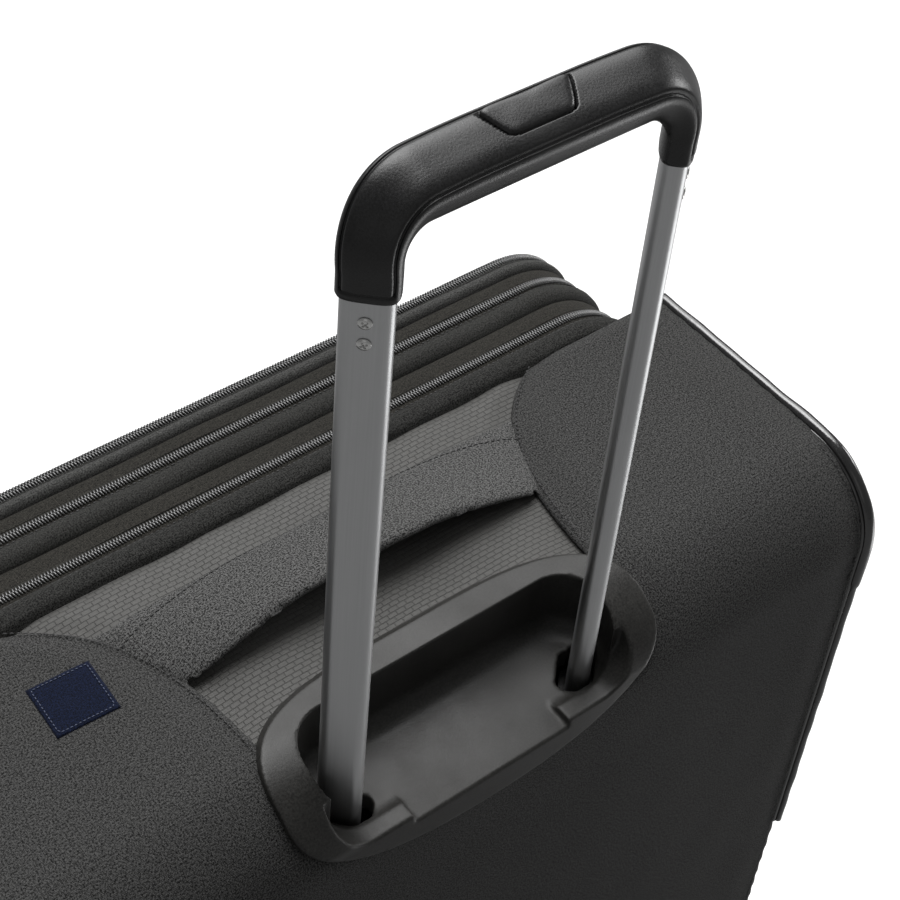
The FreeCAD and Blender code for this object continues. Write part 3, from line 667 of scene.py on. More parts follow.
def make_piping():
    """Round vinyl piping, thick to a joint on the back edge, thinner below it."""
    line = tub_line(lift=0.6, step=2.5)
    keep = ~((line[:, 1] < 136.0) & (line[:, 0] > 96.0))
    runs = []
    for side in (1, -1):
        upper = keep & (line[:, 4] < 420)
        lower = keep & (line[:, 4] > 600)
        for k, part in enumerate((upper, lower)):
            y, z, ny, nz, s = line[part].T
            wobble = waves(np.stack([s, s * 0], -1), 30, 0.10, 40 + k)
            x = np.full(len(y), side * 237.2)
            thick = 3.3 - 1.1 * ease(s, 209, 214)
            points = np.stack([x + side * wobble, y - ny * 0.4, z - nz * 0.4], -1)
            runs.append(tube_mesh("run", points, thick + wobble, up=(side, 0, 0)))
        lip = line[keep & (line[:, 4] < 420)]
        points = np.stack([np.full(len(lip), side * 234.6), lip[:, 0] - lip[:, 2] * 1.6,
                           lip[:, 1] - lip[:, 3] * 1.6], -1)
        runs.append(tube_mesh("run", points, 1.7, up=(side, 0, 0)))
    piping = join("edge_piping_round", runs)
    dress(piping, PIPING, "case")
    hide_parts("edge_piping")


def make_tub_stitches():
    """Topstitching beside the ripstop seam and the piping."""
    rows = []
    ys = np.arange(TUB_FRONT + 2, 96, 2.0)
    for side in (1, -1):
        line = np.stack([side * (seam_x(ys) + 3.0), ys, np.full(len(ys), TOP + 2.35)], -1)
        rows.append(stitch_row("row", line, (0, 0, 1), step=2.9, radius=0.36))
        tub = tub_line(lift=0.9, step=4)
        tub = tub[(tub[:, 4] > 6) & (tub[:, 4] < 560)]
        line = np.stack([np.full(len(tub), side * 230.2), tub[:, 0], tub[:, 1]], -1)
        up = np.stack([np.zeros(len(tub)), tub[:, 2], tub[:, 3]], -1)
        rows.append(stitch_row("row", line, up, step=3.2, radius=0.34))
    stitches = join("shell_stitches", rows)
    dress(stitches, THREAD, "case")


def make_lining():
    """Lining that also covers the trolley's tubes and the handle cup."""
    line = tub_line(lift=-5.5, step=6.0, inset_ends=9.0)
    y, z, ny, nz, s = line.T
    u = np.linspace(-1, 1, 120)
    x = 228.0 * u[None] + 0 * s[:, None]
    wall = np.minimum(np.broadcast_to(y[:, None], x.shape), LINING_BACK)
    cover = 1 - ease(np.abs(x), 100, 140)
    limit = 101.0 - 17.0 * ease(z[:, None], 640, 700)
    limit = limit - 8.6 * (1 - ease(z[:, None], 108, 132))
    wall = np.where(wall > limit, wall + (limit - wall) * cover, wall)
    flat = pair(x, s[:, None])
    lift = waves(flat, 70, 0.8, 51) - 0.8
    points = np.stack([x, wall + ny[:, None] * lift, z[:, None] + nz[:, None] * lift], -1)
    liner = [grid_object("part", points, flat)]
    ys = np.linspace(TUB_FRONT + 9.5, 131, 30)
    for side in (1, -1):
        drop = np.where(ys > 95, 39 - np.sqrt(np.maximum(39.0 ** 2 - (ys - 95) ** 2, 0)), 0)
        v = np.linspace(0, 1, 90)
        zz = (BOTTOM + 6 + drop)[:, None] + (TOP - BOTTOM - 12 - 2 * drop)[:, None] * v[None]
        yy = np.broadcast_to(ys[:, None], zz.shape)
        flat = np.stack([yy, zz], -1)
        points = np.stack([side * (228.0 + waves(flat, 80, 0.5, 53)), yy, zz], -1)
        liner.append(grid_object("part", points, flat))
    lining = join("lining_cloth", liner)
    thicken(lining, 0.7)
    dress(lining, LINING, "case")
    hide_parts("lining")


# ---- rings round the opening
def ring_line(step=2.6):
    """Rows x, z, nx, nz, s round the opening, from the bottom middle and up the right."""
    flat = RING_HALF - RING_R
    tall = RING_HIGH - RING_LOW - 2 * RING_R
    arc = RING_R * math.pi / 2
    legs = [("run", flat, 0), ("arc", arc, -90), ("run", tall, 90), ("arc", arc, 0),
            ("run", 2 * flat, 180), ("arc", arc, 90), ("run", tall, 270), ("arc", arc, 180),
            ("run", flat, 0)]
    centres = {-90: (flat, RING_LOW + RING_R), 0: (flat, RING_HIGH - RING_R),
               90: (-flat, RING_HIGH - RING_R), 180: (-flat, RING_LOW + RING_R)}
    x, z, s, rows = 0.0, RING_LOW, 0.0, []
    for kind, length, angle in legs:
        count = max(2, int(round(length / step)))
        for t in np.arange(count) / count * length:
            if kind == "run":
                a = math.radians(angle)
                rows.append((x + t * math.cos(a), z + t * math.sin(a),
                             math.sin(a), -math.cos(a), s + t))
            else:
                a = math.radians(angle) + t / RING_R
                cx, cz = centres[angle]
                rows.append((cx + RING_R * math.cos(a), cz + RING_R * math.sin(a),
                             math.cos(a), math.sin(a), s + t))
        if kind == "run":
            x += length * math.cos(math.radians(angle))
            z += length * math.sin(math.radians(angle))
        else:
            a = math.radians(angle + 90)
            cx, cz = centres[angle]
            x, z = cx + RING_R * math.cos(a), cz + RING_R * math.sin(a)
        s += length
    return np.array(rows), s


RING, RING_LENGTH = ring_line()


def smooth_profile(knots):
    """A rounded line through (y, lift) knots."""
    per_span = 5
    knots = np.asarray(knots, float)
    padded = np.vstack([2 * knots[0] - knots[1], knots, 2 * knots[-1] - knots[-2]])
    out = []
    for k in range(len(knots) - 1):
        p0, p1, p2, p3 = padded[k:k + 4]
        for t in np.arange(per_span) / per_span:
            out.append(0.5 * (2 * p1 + (p2 - p0) * t + (2 * p0 - 5 * p1 + 4 * p2 - p3) * t ** 2
                              + (3 * p1 - p0 - 3 * p2 + p3) * t ** 3))
    out.append(knots[-1])
    return np.array(out)


def sweep_ring(name, knots, thickness, soft, seed, pucker=0.0):
    """A padded band round the opening with this outer profile."""
    outer = smooth_profile(knots)
    inner = outer[::-1].copy()
    inner[:, 1] = np.minimum(inner[:, 1] - thickness, outer[:, 1].min() - thickness * 0.5)
    profile = np.vstack([outer, inner])
    across = along(np.vstack([profile, profile[:1]]))
    x, z, nx, nz, s = RING.T
    shape = (len(s), len(profile))
    lift = np.broadcast_to(profile[None, :, 1], shape).copy()
    yy = np.broadcast_to(profile[None, :, 0], shape).copy()
    body_of_pad = np.zeros(len(profile))
    body_of_pad[:len(outer)] = np.sin(math.pi * np.linspace(0, 1, len(outer))) ** 0.7
    loop = np.stack([np.cos(s / RING_LENGTH * 2 * math.pi),
                     np.sin(s / RING_LENGTH * 2 * math.pi)], -1) * RING_LENGTH / 2 / math.pi
    soft_noise = waves(loop, 70, soft, seed)[:, None]
    fine_noise = waves(loop, 16, pucker, seed + 1)[:, None]
    lift += (soft_noise + fine_noise) * body_of_pad[None]
    yy += waves(loop, 90, 0.22, seed + 2)[:, None]
    points = np.stack([x[:, None] + nx[:, None] * lift, yy, z[:, None] + nz[:, None] * lift], -1)
    uv = pair(np.r_[s, RING_LENGTH][:, None], across[None])
    return face_outward(grid_object(name, points, uv, (True, True)))


def ring_curve(lift, y, rows=None):
    rows = RING if rows is None else rows
    x, z, nx, nz, _ = rows.T
    line = np.stack([x + nx * lift, np.full(len(x), y), z + nz * lift], -1)
    return line, np.stack([nx, np.zeros(len(x)), nz], -1)


def ring_stitches(name, y, lift):
    line, up = ring_curve(lift, y)
    line, up = np.vstack([line, line[:1]]), np.vstack([up, up[:1]])
    return stitch_row(name, line, up, radius=0.34)


def zip_coil(name, y, lift, rows=None):
    """Two rows of moulded coil loops that mesh along the middle."""
    pitch, half = 1.6, 2.75
    line, up = ring_curve(lift, y, rows)
    if rows is None:
        line, up = np.vstack([line, line[:1]]), np.vstack([up, up[:1]])
    s = along(line)
    count = int(s[-1] / pitch)
    starts, ends, ups = [], [], []
    for side, phase in ((1, 0.0), (-1, 0.5)):
        at = (np.arange(count) + phase) * pitch
        n = interpolate(at, s, up)
        across = np.array([0, side, 0])
        starts.append(interpolate(at, s, line) - across * 0.55 + n * 0.42)
        ends.append(interpolate(at + 0.7, s, line) + across * half - n * 0.25)
        ups.append(n)
    return capsule_line(name, np.vstack(starts), np.vstack(ends), 0.56, np.vstack(ups), flat=0.9)


def ring_piece(name, knots, thickness, material, body, node=None, **shape):
    piece = dress(sweep_ring(name, knots, thickness, **shape), material, body)
    if node:
        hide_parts(node)
    return piece


def make_rings():
    """Padded strips, zip tapes and coils round the opening, from back to front."""
    pad = ring_piece("gusset_strip_padded",
                     [(-17.0, -2.6), (-18.2, -0.6), (-20.0, 1.9), (-23.0, 3.0), (-26.5, 3.1),
                      (-29.0, 2.2), (-30.8, 0.6), (-31.6, -0.6)], 2.0, TWILL, "case",
                     "front_gusset_strip", soft=0.2, pucker=0.12, seed=61)
    ring_piece("expansion_tape_rear", [(-30.6, -0.9), (-33.0, -0.45), (-36.0, -0.25),
                                       (-39.1, -0.3)], 0.8, TAPE, "case", soft=0.05, seed=64)
    coil = dress(zip_coil("expansion_coil", ZIP_EXPANSION, 0.1), COIL, "case")
    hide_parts("expansion_zip")
    dress(ring_stitches("gusset_stitches", -29.6, 1.7), THREAD, "case")
    ring_piece("expansion_gusset_folded",
               [(-10.0, -4.6), (-22.0, -3.2), (-36.0, -4.9), (-50.0, -3.2), (-63.0, -4.9),
                (-76.0, -3.6)], 0.8, RIPSTOP, "case", "expansion_gusset", soft=0.3, pucker=0.3,
               seed=66)
    ring_piece("expansion_tape_front", [(-39.3, -0.3), (-42.0, -0.35), (-46.0, -0.5),
                                        (-49.0, -1.3), (-50.2, -2.4)], 0.9, TAPE,
               "expansion_section", soft=0.12, seed=68)
    pad = ring_piece("expansion_frame_padded",
                     [(-49.6, -2.6), (-50.6, -0.4), (-53.0, 1.6), (-56.0, 2.2), (-59.0, 1.7),
                      (-61.3, 0.5), (-62.2, -0.7)], 2.0, PAD, "expansion_section",
                     "expansion_frame", soft=0.2, pucker=0.1, seed=71)
    ring_piece("main_tape_rear", [(-61.4, -0.9), (-63.5, -0.45), (-66.0, -0.25),
                                  (-69.05, -0.3)], 0.8, TAPE, "expansion_section", soft=0.05,
               seed=74)
    opening = RING[(RING[:, 0] > -225) | (RING[:, 1] < HINGE_LOW) | (RING[:, 1] > HINGE_HIGH)]
    start = np.argmax(np.linalg.norm(np.diff(opening[:, :2], axis=0), axis=1)) + 1
    opening = np.vstack([opening[start:], opening[:start]])
    coil = dress(zip_coil("main_coil", ZIP_MAIN, 0.1, opening), COIL, "expansion_section")
    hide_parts("main_zip")
    dress(ring_stitches("frame_stitches", -60.8, 1.1), THREAD, "expansion_section")
    ring_piece("main_tape_front", [(-69.35, -0.3), (-72.0, -0.35), (-75.5, -0.5),
                                   (-77.0, -1.2), (-78.0, -2.3)], 0.9, TAPE, "lid", soft=0.12,
               seed=76)
    pad = ring_piece("lid_strip_padded",
                     [(-77.4, -2.6), (-78.2, -0.3), (-79.6, 1.2), (-81.2, 1.6), (-82.8, 1.2),
                      (-84.0, 0.3)], 2.0, PALE_PAD, "lid", soft=0.15, pucker=0.08, seed=79)
    ring_piece("pocket_tape", [(-83.6, 0.3), (-84.8, 0.4), (-86.0, -0.2), (-88.0, -0.3),
                               (-90.4, -0.6), (-91.4, -1.2)], 0.9, TWILL, "lid", soft=0.05,
               seed=82)
    coil = dress(zip_coil("pocket_coil", ZIP_POCKET, 0.05), COIL, "lid")
    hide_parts("pocket_zip")


def make_hinge():
    """Woven strip that joins the lid to the expansion frame along the left edge."""
    ys = np.linspace(-61.8, -77.2, 45)
    zs = np.linspace(HINGE_LOW + 1, HINGE_HIGH - 1, 220)
    y, z = np.meshgrid(ys, zs, indexing="ij")
    flat = np.stack([y, z], -1)
    edge = np.minimum(np.minimum(y + 77.2, -61.8 - y), np.minimum(z - HINGE_LOW, HINGE_HIGH - z))
    lift = 0.1 + 0.9 * ease(edge, 0, 1.6) + waves(flat, 30, 0.08, 95)
    points = np.stack([-(RING_HALF + lift), y, z], -1)
    strip = cloth_sheet("lid_hinge_strip", points, flat, (0, -69, 400), 0.7)
    strip.data.materials.append(PAD)
    strip.data.shade_smooth()
    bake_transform(strip)


# ---- padded pieces
def box_uv(obj):
    """Cloth coordinates in metres, taken from the side each face looks to."""
    mesh = obj.data
    while mesh.uv_layers:
        mesh.uv_layers.remove(mesh.uv_layers[0])
    layer = mesh.uv_layers.new(name="UVMap")
    co = np.empty(len(mesh.vertices) * 3)
    mesh.vertices.foreach_get("co", co)
    co = co.reshape(-1, 3)
    loop_vert = np.empty(len(mesh.loops), int)
    mesh.loops.foreach_get("vertex_index", loop_vert)
    normal = np.empty(len(mesh.polygons) * 3)
    mesh.polygons.foreach_get("normal", normal)
    size = np.empty(len(mesh.polygons), int)
    mesh.polygons.foreach_get("loop_total", size)
    axis = np.repeat(np.abs(normal.reshape(-1, 3)).argmax(1), size)
    p = co[loop_vert]
    u = np.where(axis == 0, p[:, 1], p[:, 0])
    v = np.where(axis == 2, p[:, 1], p[:, 2])
    layer.data.foreach_set("uv", np.stack([u, v], 1).ravel())
    return obj


def vertices_of(mesh):
    co = np.empty(len(mesh.vertices) * 3)
    mesh.vertices.foreach_get("co", co)
    return co.reshape(-1, 3)


def inflate(obj, voxel, pressure, cap, frames=20):
    """Cloth simulation that fills a closed piece with padding."""
    remesh = obj.modifiers.new("remesh", "REMESH")
    remesh.mode = "VOXEL"
    remesh.voxel_size = voxel * MM
    bake_modifiers(obj)
    start = vertices_of(obj.data)
    cloth = obj.modifiers.new("cloth", "CLOTH").settings
    cloth.quality = 6
    cloth.mass = 0.3
    cloth.tension_stiffness = cloth.compression_stiffness = 12
    cloth.bending_stiffness = 0.4
    cloth.use_pressure = True
    cloth.uniform_pressure_force = pressure
    cloth.effector_weights.gravity = 0
    for number in range(1, frames + 1):
        bpy.context.scene.frame_set(number)
    graph = bpy.context.evaluated_depsgraph_get()
    end = vertices_of(obj.evaluated_get(graph).data)
    obj.modifiers.clear()
    bpy.context.scene.frame_set(1)
    move = end - start
    far = np.linalg.norm(move, axis=1, keepdims=True)
    limit = cap * MM
    move *= np.where(far > 1e-9, limit * np.tanh(far / limit) / np.maximum(far, 1e-9), 0)
    obj.data.vertices.foreach_set("co", (start + move).ravel())
    smooth = obj.modifiers.new("smooth", "SUBSURF")
    smooth.levels = 1
    bake_modifiers(obj)
    return box_uv(obj)


def rounded_outline(half, low, high, radius, inset, per_corner=10):
    half, radius = half - inset, max(radius - inset, 4.0)
    low, high = low + inset, high - inset
    points = []
    for cx, cz, start in ((half - radius, high - radius, 0), (radius - half, high - radius, 90),
                          (radius - half, low + radius, 180), (half - radius, low + radius, 270)):
        for a in np.radians(np.linspace(start, start + 90, per_corner)):
            points.append((cx + radius * math.cos(a), cz + radius * math.sin(a)))
    return np.array(points)


def stack_rings(name, rings):
    """A closed form from rings of as many points each, first to last."""
    count = len(rings[0])
    faces = [[k * count + i, k * count + (i + 1) % count,
              (k + 1) * count + (i + 1) % count, (k + 1) * count + i]
             for k in range(len(rings) - 1) for i in range(count)]
    faces.append(list(range(count))[::-1])
    faces.append([(len(rings) - 1) * count + i for i in range(count)])
    return face_outward(make_object(name, np.vstack(rings), faces))


def pillow(name, outline, y_back, y_face, edge):
    """A closed flat pad with rounded front edges, in the lid's plane."""
    half, low, high, radius = outline
    levels = [(0.0, y_back), (0.0, y_face + edge)]
    for a in np.radians((22, 45, 67, 90)):
        levels.append((edge * (1 - math.cos(a)), y_face + edge * (1 - math.sin(a))))
    rings = [np.insert(rounded_outline(half, low, high, radius, inset), 1, y, axis=1)
             for inset, y in levels]
    return stack_rings(name, rings)


def on_surface(obj, points, direction, lift=0.0, reach=60.0):
    """Drops points onto a mesh along a direction, then lifts them off it."""
    direction = Vector(direction)
    out = []
    for p in np.asarray(points, float):
        origin = Vector(p) * MM - direction * reach * MM
        hit, where, _, _ = obj.ray_cast(origin, direction)
        if hit:
            out.append(np.array(where) / MM - np.array(direction) * lift)
    return np.array(out)


def make_lid():
    """The lid's panel and its two padded pockets, with their stitching and zip."""
    panel = pillow("lid_panel", (RING_HALF - 3, RING_LOW + 3, RING_HIGH - 3, RING_R - 3),
                   -83.0, -86.8, 1.5)
    box_uv(panel)
    dress(panel, LINING, "lid", smooth=False)
    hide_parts("lid_shell")
    upper = pillow("upper_pocket_padded", (RING_HALF - 2.5, RING_LOW + 2.5, RING_HIGH - 2.5,
                                           RING_R - 2.5), -88.0, -99.0, 9.0)
    inflate(upper, 6.0, 4.0, 5.0)
    dress(upper, SHELL, "lid")
    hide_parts("upper_pocket")
    lower = pillow("lower_pocket_padded", (202.0, 99.0, 467.0, 30.0), -98.0, -136.0, 17.0)
    inflate(lower, 5.0, 4.0, 8.0)
    dress(lower, SHELL, "lid")
    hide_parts("lower_pocket")
    rows = []
    for obj, outline, inset in ((upper, (229.5, 70.5, 738.5, 47.5), 16.0),
                                (lower, (202.0, 99.0, 467.0, 30.0), 22.0)):
        for extra in (0.0, 6.0):
            flat = rounded_outline(*outline, inset + extra, 14)
            line = np.insert(flat, 1, -160.0, axis=1)
            line = np.vstack([line, line[:1]])
            line = resample(line, 3.0)
            line = on_surface(obj, line, (0, 1, 0), 0.15)
            rows.append(stitch_row("row", line, (0, -1, 0), step=3.2, radius=0.38))
    dress(join("pocket_stitches", rows), THREAD, "lid")
    across = np.stack([np.linspace(-168, 168, 120), np.full(120, -116.0), np.full(120, 520.0)], 1)
    line = on_surface(lower, across, (0, 0, -1), 0.2)
    rows = np.stack([line[:, 0], line[:, 2], np.zeros(120), np.ones(120), np.zeros(120)], 1)
    coil = zip_coil("lower_pocket_coil", -116.0, 0.3, rows)
    dress(coil, COIL, "lid")
    knots = np.array([(-5.6, 0.1), (0.0, 0.45), (5.6, 0.1)])
    band = np.stack([np.stack([line[:, 0], line[:, 1] + dy, line[:, 2] + dz - 0.1], -1)
                     for dy, dz in knots], 1)
    uv = pair(line[:, 0][:, None], knots[:, 0][None])
    tape = cloth_sheet("lower_pocket_tape", band, uv, (0, -116, 0), 0.6)
    dress(tape, TAPE, "lid")


def strap_points(front, back, thick):
    """A padded strap's closed sections between a front and a back line."""
    turn = circle(34)
    across = np.sign(np.cos(turn)) * np.abs(np.cos(turn)) ** 0.55
    height = np.sign(np.sin(turn)) * np.abs(np.sin(turn)) ** 0.75
    mid, span = (front + back) / 2, (back - front) / 2
    length = np.gradient(mid, axis=0)
    normal = unit(np.cross(length, span))
    normal *= np.sign(normal[:, 2:3] + normal[:, 0:1] + 1e-9)
    return (mid[:, None] + span[:, None] * across[None, :, None]
            + normal[:, None] * thick[:, None, None] * height[None, :, None]), normal


def make_strap(name, front, back, thick, stitch_inset, node):
    points, normal = strap_points(front, back, thick)
    around = np.linspace(0, 1, points.shape[1] + 1) * 90
    uv = pair(along((front + back) / 2)[:, None], around[None])
    strap = close_ends(grid_object(name, points, uv, (False, True)))
    inflate(strap, 2.2, 3.0, 1.6)
    dress(strap, STRAP, "case")
    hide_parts(node)
    rows = []
    for t in stitch_inset:
        line = front + (back - front) * t + normal * 30
        line = line[4:-4]
        down = -normal[len(normal) // 2]
        line = on_surface(strap, line, down, 0.12, 20.0)
        rows.append(stitch_row("row", line, -down, step=3.1, radius=0.34))
    dress(join(name + "_stitches", rows), THREAD, "case")


def make_handles():
    """The bowed carry handles on the top and the right side."""
    u = np.linspace(-1, 1, 121)
    bow = 1 - np.abs(u) ** 2.2
    reach_front, reach_back = float(seam_x(5.0)) + 1.0, float(seam_x(53.0)) + 1.0
    front = np.stack([reach_front * u, 5.0 + 0 * u, TOP - 0.9 + 4.2 * bow], -1)
    back = np.stack([reach_back * u, 53.0 - 3.0 * bow, TOP - 0.9 + 21.0 * bow], -1)
    thick = 0.9 + 2.2 * (1 - np.abs(u) ** 8)
    make_strap("top_handle_padded", front, back, thick, (0.06,), "top_carry_handle")
    bow = 1 - np.abs(u) ** 2.6
    z = SIDE_HANDLE_Z + SIDE_HANDLE_HALF * u
    front = np.stack([SIDE_X + 1.4 + 6.6 * bow, 43.0 + 2.0 * bow, z], -1)
    back = np.stack([SIDE_X + 1.4 + 6.6 * bow, 77.0 - 2.0 * bow, z], -1)
    make_strap("side_handle_padded", front, back, thick * 0.8, (0.12, 0.88),
               "side_carry_handle")
    patches = []
    for end in (-1, 1):
        near, far = SIDE_HANDLE_Z + end * 97, SIDE_HANDLE_Z + end * SIDE_HANDLE_HALF
        line = resample([(SIDE_X + 4.2, y, z) for y, z in
                         ((43, near), (77, near), (77, far), (43, far), (43, near))], 3.0)
        patches.append(stitch_row("row", line, (1, 0, 0), step=3.0, radius=0.36))
    dress(join("side_handle_tacks", patches), THREAD, "case")


def patch_point(a, b):
    """Where a point of the patch lies, from its two coordinates between -1 and 1."""
    turn = math.radians(3)
    return (PATCH_X + PATCH_HALF[0] * (a * math.cos(turn) + b * math.sin(turn)),
            PATCH_Y + PATCH_HALF[1] * (b * math.cos(turn) - a * math.sin(turn)))


def make_patch():
    """Plain stitched label on the right-hand top corner panel."""
    wrap = bpy.data.objects["fabric_shell"]
    u = np.linspace(-1, 1, 31)
    a, b = np.meshgrid(u, u, indexing="ij")
    x, y = patch_point(a, b)
    base = on_surface(wrap, np.stack([x.ravel(), y.ravel(), np.full(x.size, 780.0)], 1),
                      (0, 0, -1), 0.0)[:, 2].reshape(x.shape)
    edge = np.minimum(1 - np.abs(a), 1 - np.abs(b)) * PATCH_MEAN
    lift = 0.75 * ease(edge, -0.6, 0.9) - 0.22 * np.exp(-((edge - 1.7) / 0.55) ** 2)
    flat = np.stack([a * PATCH_HALF[0], b * PATCH_HALF[1]], -1)
    lift += waves(flat, 14, 0.05, 90)
    points = np.stack([x, y, base + lift], -1)
    patch = cloth_sheet("label_patch_cloth", points, flat, (PATCH_X, PATCH_Y, 700), 0.7)
    dress(patch, PATCH, "case")
    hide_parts("label_patch")
    k = 1 - 1.7 / PATCH_MEAN
    border = [patch_point(p * k, q * k) + (780.0,)
              for p, q in ((-1, -1), (1, -1), (1, 1), (-1, 1), (-1, -1))]
    border = resample(border, 2.0)
    border = on_surface(patch, border, (0, 0, -1), 0.05)
    dress(stitch_row("label_patch_stitches", border, (0, 0, 1), step=2.0, fill=0.72,
                     radius=0.30), NAVY_THREAD, "case")


# ---- moulded and metal pieces
def copy_of(node, name):
    return add_object(name, frame["nodes"][node].data.copy())


def crease_edges(bm):
    """Smooth shading with creases where the faces turn sharply."""
    for edge in bm.edges:
        if len(edge.link_faces) == 2:
            edge.smooth = edge.calc_face_angle(0.0) < 0.6
    for face in bm.faces:
        face.smooth = True


def moulded_copy(node, name, voxel, rounds):
    """The CAD shape with every edge rounded, as a moulding has."""
    obj = copy_of(node, name)
    remesh = obj.modifiers.new("remesh", "REMESH")
    remesh.mode = "VOXEL"
    remesh.voxel_size = voxel * MM
    smooth = obj.modifiers.new("smooth", "SMOOTH")
    smooth.factor = 0.5
    smooth.iterations = rounds
    return bake_modifiers(obj)


def bevelled_copy(node, name, width):
    obj = edit_mesh(face_outward(copy_of(node, name)), melt_flat)
    bevel = obj.modifiers.new("bevel", "BEVEL")
    bevel.width = width * MM
    bevel.segments = 3
    bevel.limit_method = "ANGLE"
    bevel.angle_limit = 0.7
    return bake_modifiers(obj)


def make_hard_piece(node, ending, width, material, body):
    piece = bevelled_copy(node, node + ending, width)
    dress(piece, material, body, smooth=False)
    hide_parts(node)
    edit_mesh(piece, crease_edges)


def make_mouldings():
    bezel = moulded_copy("handle_bezel", "handle_bezel_moulded", 0.8, 6)
    dress(bezel, BEZEL, "case")
    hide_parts("handle_bezel")
    for node, width in (("base_plate", 1.5), ("corner_guards", 1.2)):
        make_hard_piece(node, "_moulded", width, BASE, "case")
    for node in ("main_slider_upper", "main_pull_upper", "main_slider_lower", "main_pull_lower",
                 "expansion_slider", "expansion_pull", "pocket_slider", "pocket_pull"):
        make_hard_piece(node, "_cast", 0.5, GUNMETAL, node)


def superellipse(a, b, power, turn):
    c, s = np.cos(turn), np.sin(turn)
    reach = (np.abs(c) ** power + np.abs(s) ** power) ** (-1 / power)
    return a * c * reach, b * s * reach


def button_distance(x, y):
    """How far a point is outside the button's outline, which is a rounded trapezium."""
    end = (np.abs(x) - 18.6) * 0.89 + (y - 112.0) * 0.456
    sides = np.stack([np.broadcast_to(y - 121.6, end.shape),
                      np.broadcast_to(109.6 - y, end.shape), end])
    return np.log(np.exp(sides * 0.9).sum(0)) / 0.9


def grip_path():
    """Rows x, z, turn and side, from the right collar over the bar to the left one."""
    path = [(TUBE_X, z, 0.0) for z in
            np.r_[np.arange(GRIP_LOW, 1008.0, 0.35), np.arange(1008.0, LEG_TOP, 1.0)]]
    for a in np.linspace(0, math.pi / 2, 30):
        path.append((TUBE_X - GRIP_CORNER + GRIP_CORNER * math.cos(a),
                     LEG_TOP + GRIP_CORNER * math.sin(a), a))
    for x in np.arange(TUBE_X - GRIP_CORNER - 0.6, 0, -0.6):
        path.append((x, BAR_Z, math.pi / 2))
    half = np.insert(np.array(path), 3, 1.0, axis=1)
    return np.vstack([half, half[::-1] * [-1, 1, 1, -1]]).T


def grip_section(turn, z, gone, half_wide, half_thick, half_under):
    """Across and outward offsets of one section: a grooved top strip over a round underside."""
    top = superellipse(half_wide, half_thick, 3.6, turn)
    under = superellipse(half_wide, half_under, 2.9 - 0.4 * gone, turn)
    share = ease(np.sin(turn), -0.25, 0.45)
    across = under[0] * (1 - share) + top[0] * share
    outward = under[1] * (1 - share) + top[1] * share
    fraction = np.abs(across) / half_wide
    on_strip = np.sin(turn) > 0.1
    strip_end = ease(z, COLLAR_Z - 0.6, COLLAR_Z + 0.8)
    groove = np.where(on_strip, np.exp(-((fraction - 0.80) / 0.045) ** 2), 0) * strip_end
    collar = np.exp(-((z - COLLAR_Z) / 0.5) ** 2) * (on_strip & (fraction < 0.83))
    proud = np.where(on_strip & (fraction < 0.8), 0.35, 0.0) * strip_end
    rounding = 0.5 * (1 - ease(z, GRIP_LOW, GRIP_LOW + 1.2)) / half_wide
    shrink = 1 - (1.4 * groove + 1.0 * collar) / half_thick
    return across * (1 - rounding), outward * (shrink - rounding) + proud


def make_grip():
    """Moulded handle lofted from one collar, over the bar, to the other."""
    x, z, lean, side = grip_path()
    outer = np.stack([side * np.cos(lean), 0 * x, np.sin(lean)], -1)
    rear = np.array([0.0, 1.0, 0.0])
    gone = ease(z - np.abs(x) * 0.25, 994.0, 1030.0)
    tilt = np.radians(45.0 - 25.0 * gone)
    sizes = 11.0 + 1.9 * gone, 6.4 + 3.6 * gone, 6.4 + 5.6 * gone
    centre = np.stack([x, TUBE_Y - 5.0 * gone, z], -1)
    turn = circle(232)
    normal = outer * np.cos(tilt)[:, None] + rear * np.sin(tilt)[:, None]
    wide = outer * -np.sin(tilt)[:, None] + rear * np.cos(tilt)[:, None]
    points = np.empty((len(x), len(turn), 3))
    for k in range(len(x)):
        across, outward = grip_section(turn, z[k], gone[k], *(size[k] for size in sizes))
        points[k] = centre[k] + normal[k] * outward[:, None] + wide[k] * across[:, None]
    in_well = button_distance(points[..., 0], points[..., 1]) < WELL_GAP
    on_top = points[..., 2] > 1038.0
    points[..., 2] = np.where(in_well & on_top, WELL_FLOOR, points[..., 2])
    uv = pair(along(centre)[:, None], np.linspace(0, 90, len(turn) + 1)[None])
    grip = close_ends(grid_object("trolley_grip", points, uv, (False, True)))
    dress(grip, GRIP, "trolley")
    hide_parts("grip_upper", "grip_lower")


def make_button():
    """Trapezium push button with eased corners, leaning back like the grip's top."""
    turn = circle(160)
    outline = []
    for a in turn:
        reach = np.linspace(1, 22, 400)
        px, py = reach * math.cos(a), BUTTON_Y + reach * math.sin(a)
        out = reach[np.argmax(button_distance(px, py) > 0)]
        outline.append((out * math.cos(a), out * math.sin(a)))
    outline = np.array(outline)
    radius = np.linalg.norm(outline, axis=1, keepdims=True)
    rings = []
    for inset, z in ((0.0, BUTTON_LOW), (0.0, BUTTON_TOP - 1.5), (0.15, BUTTON_TOP - 0.8),
                     (0.6, BUTTON_TOP - 0.25), (1.3, BUTTON_TOP), (3.0, BUTTON_TOP + 0.12),
                     (4.4, BUTTON_TOP + 0.2)):
        ring = outline * (1 - inset / radius)
        rings.append(np.stack([ring[:, 0], BUTTON_Y + ring[:, 1],
                               np.full(len(ring), z) - ring[:, 1] * BUTTON_LEAN], -1))
    button = stack_rings("push_button_cap", rings)
    dress(button, GRIP, "button")
    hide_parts("push_button")


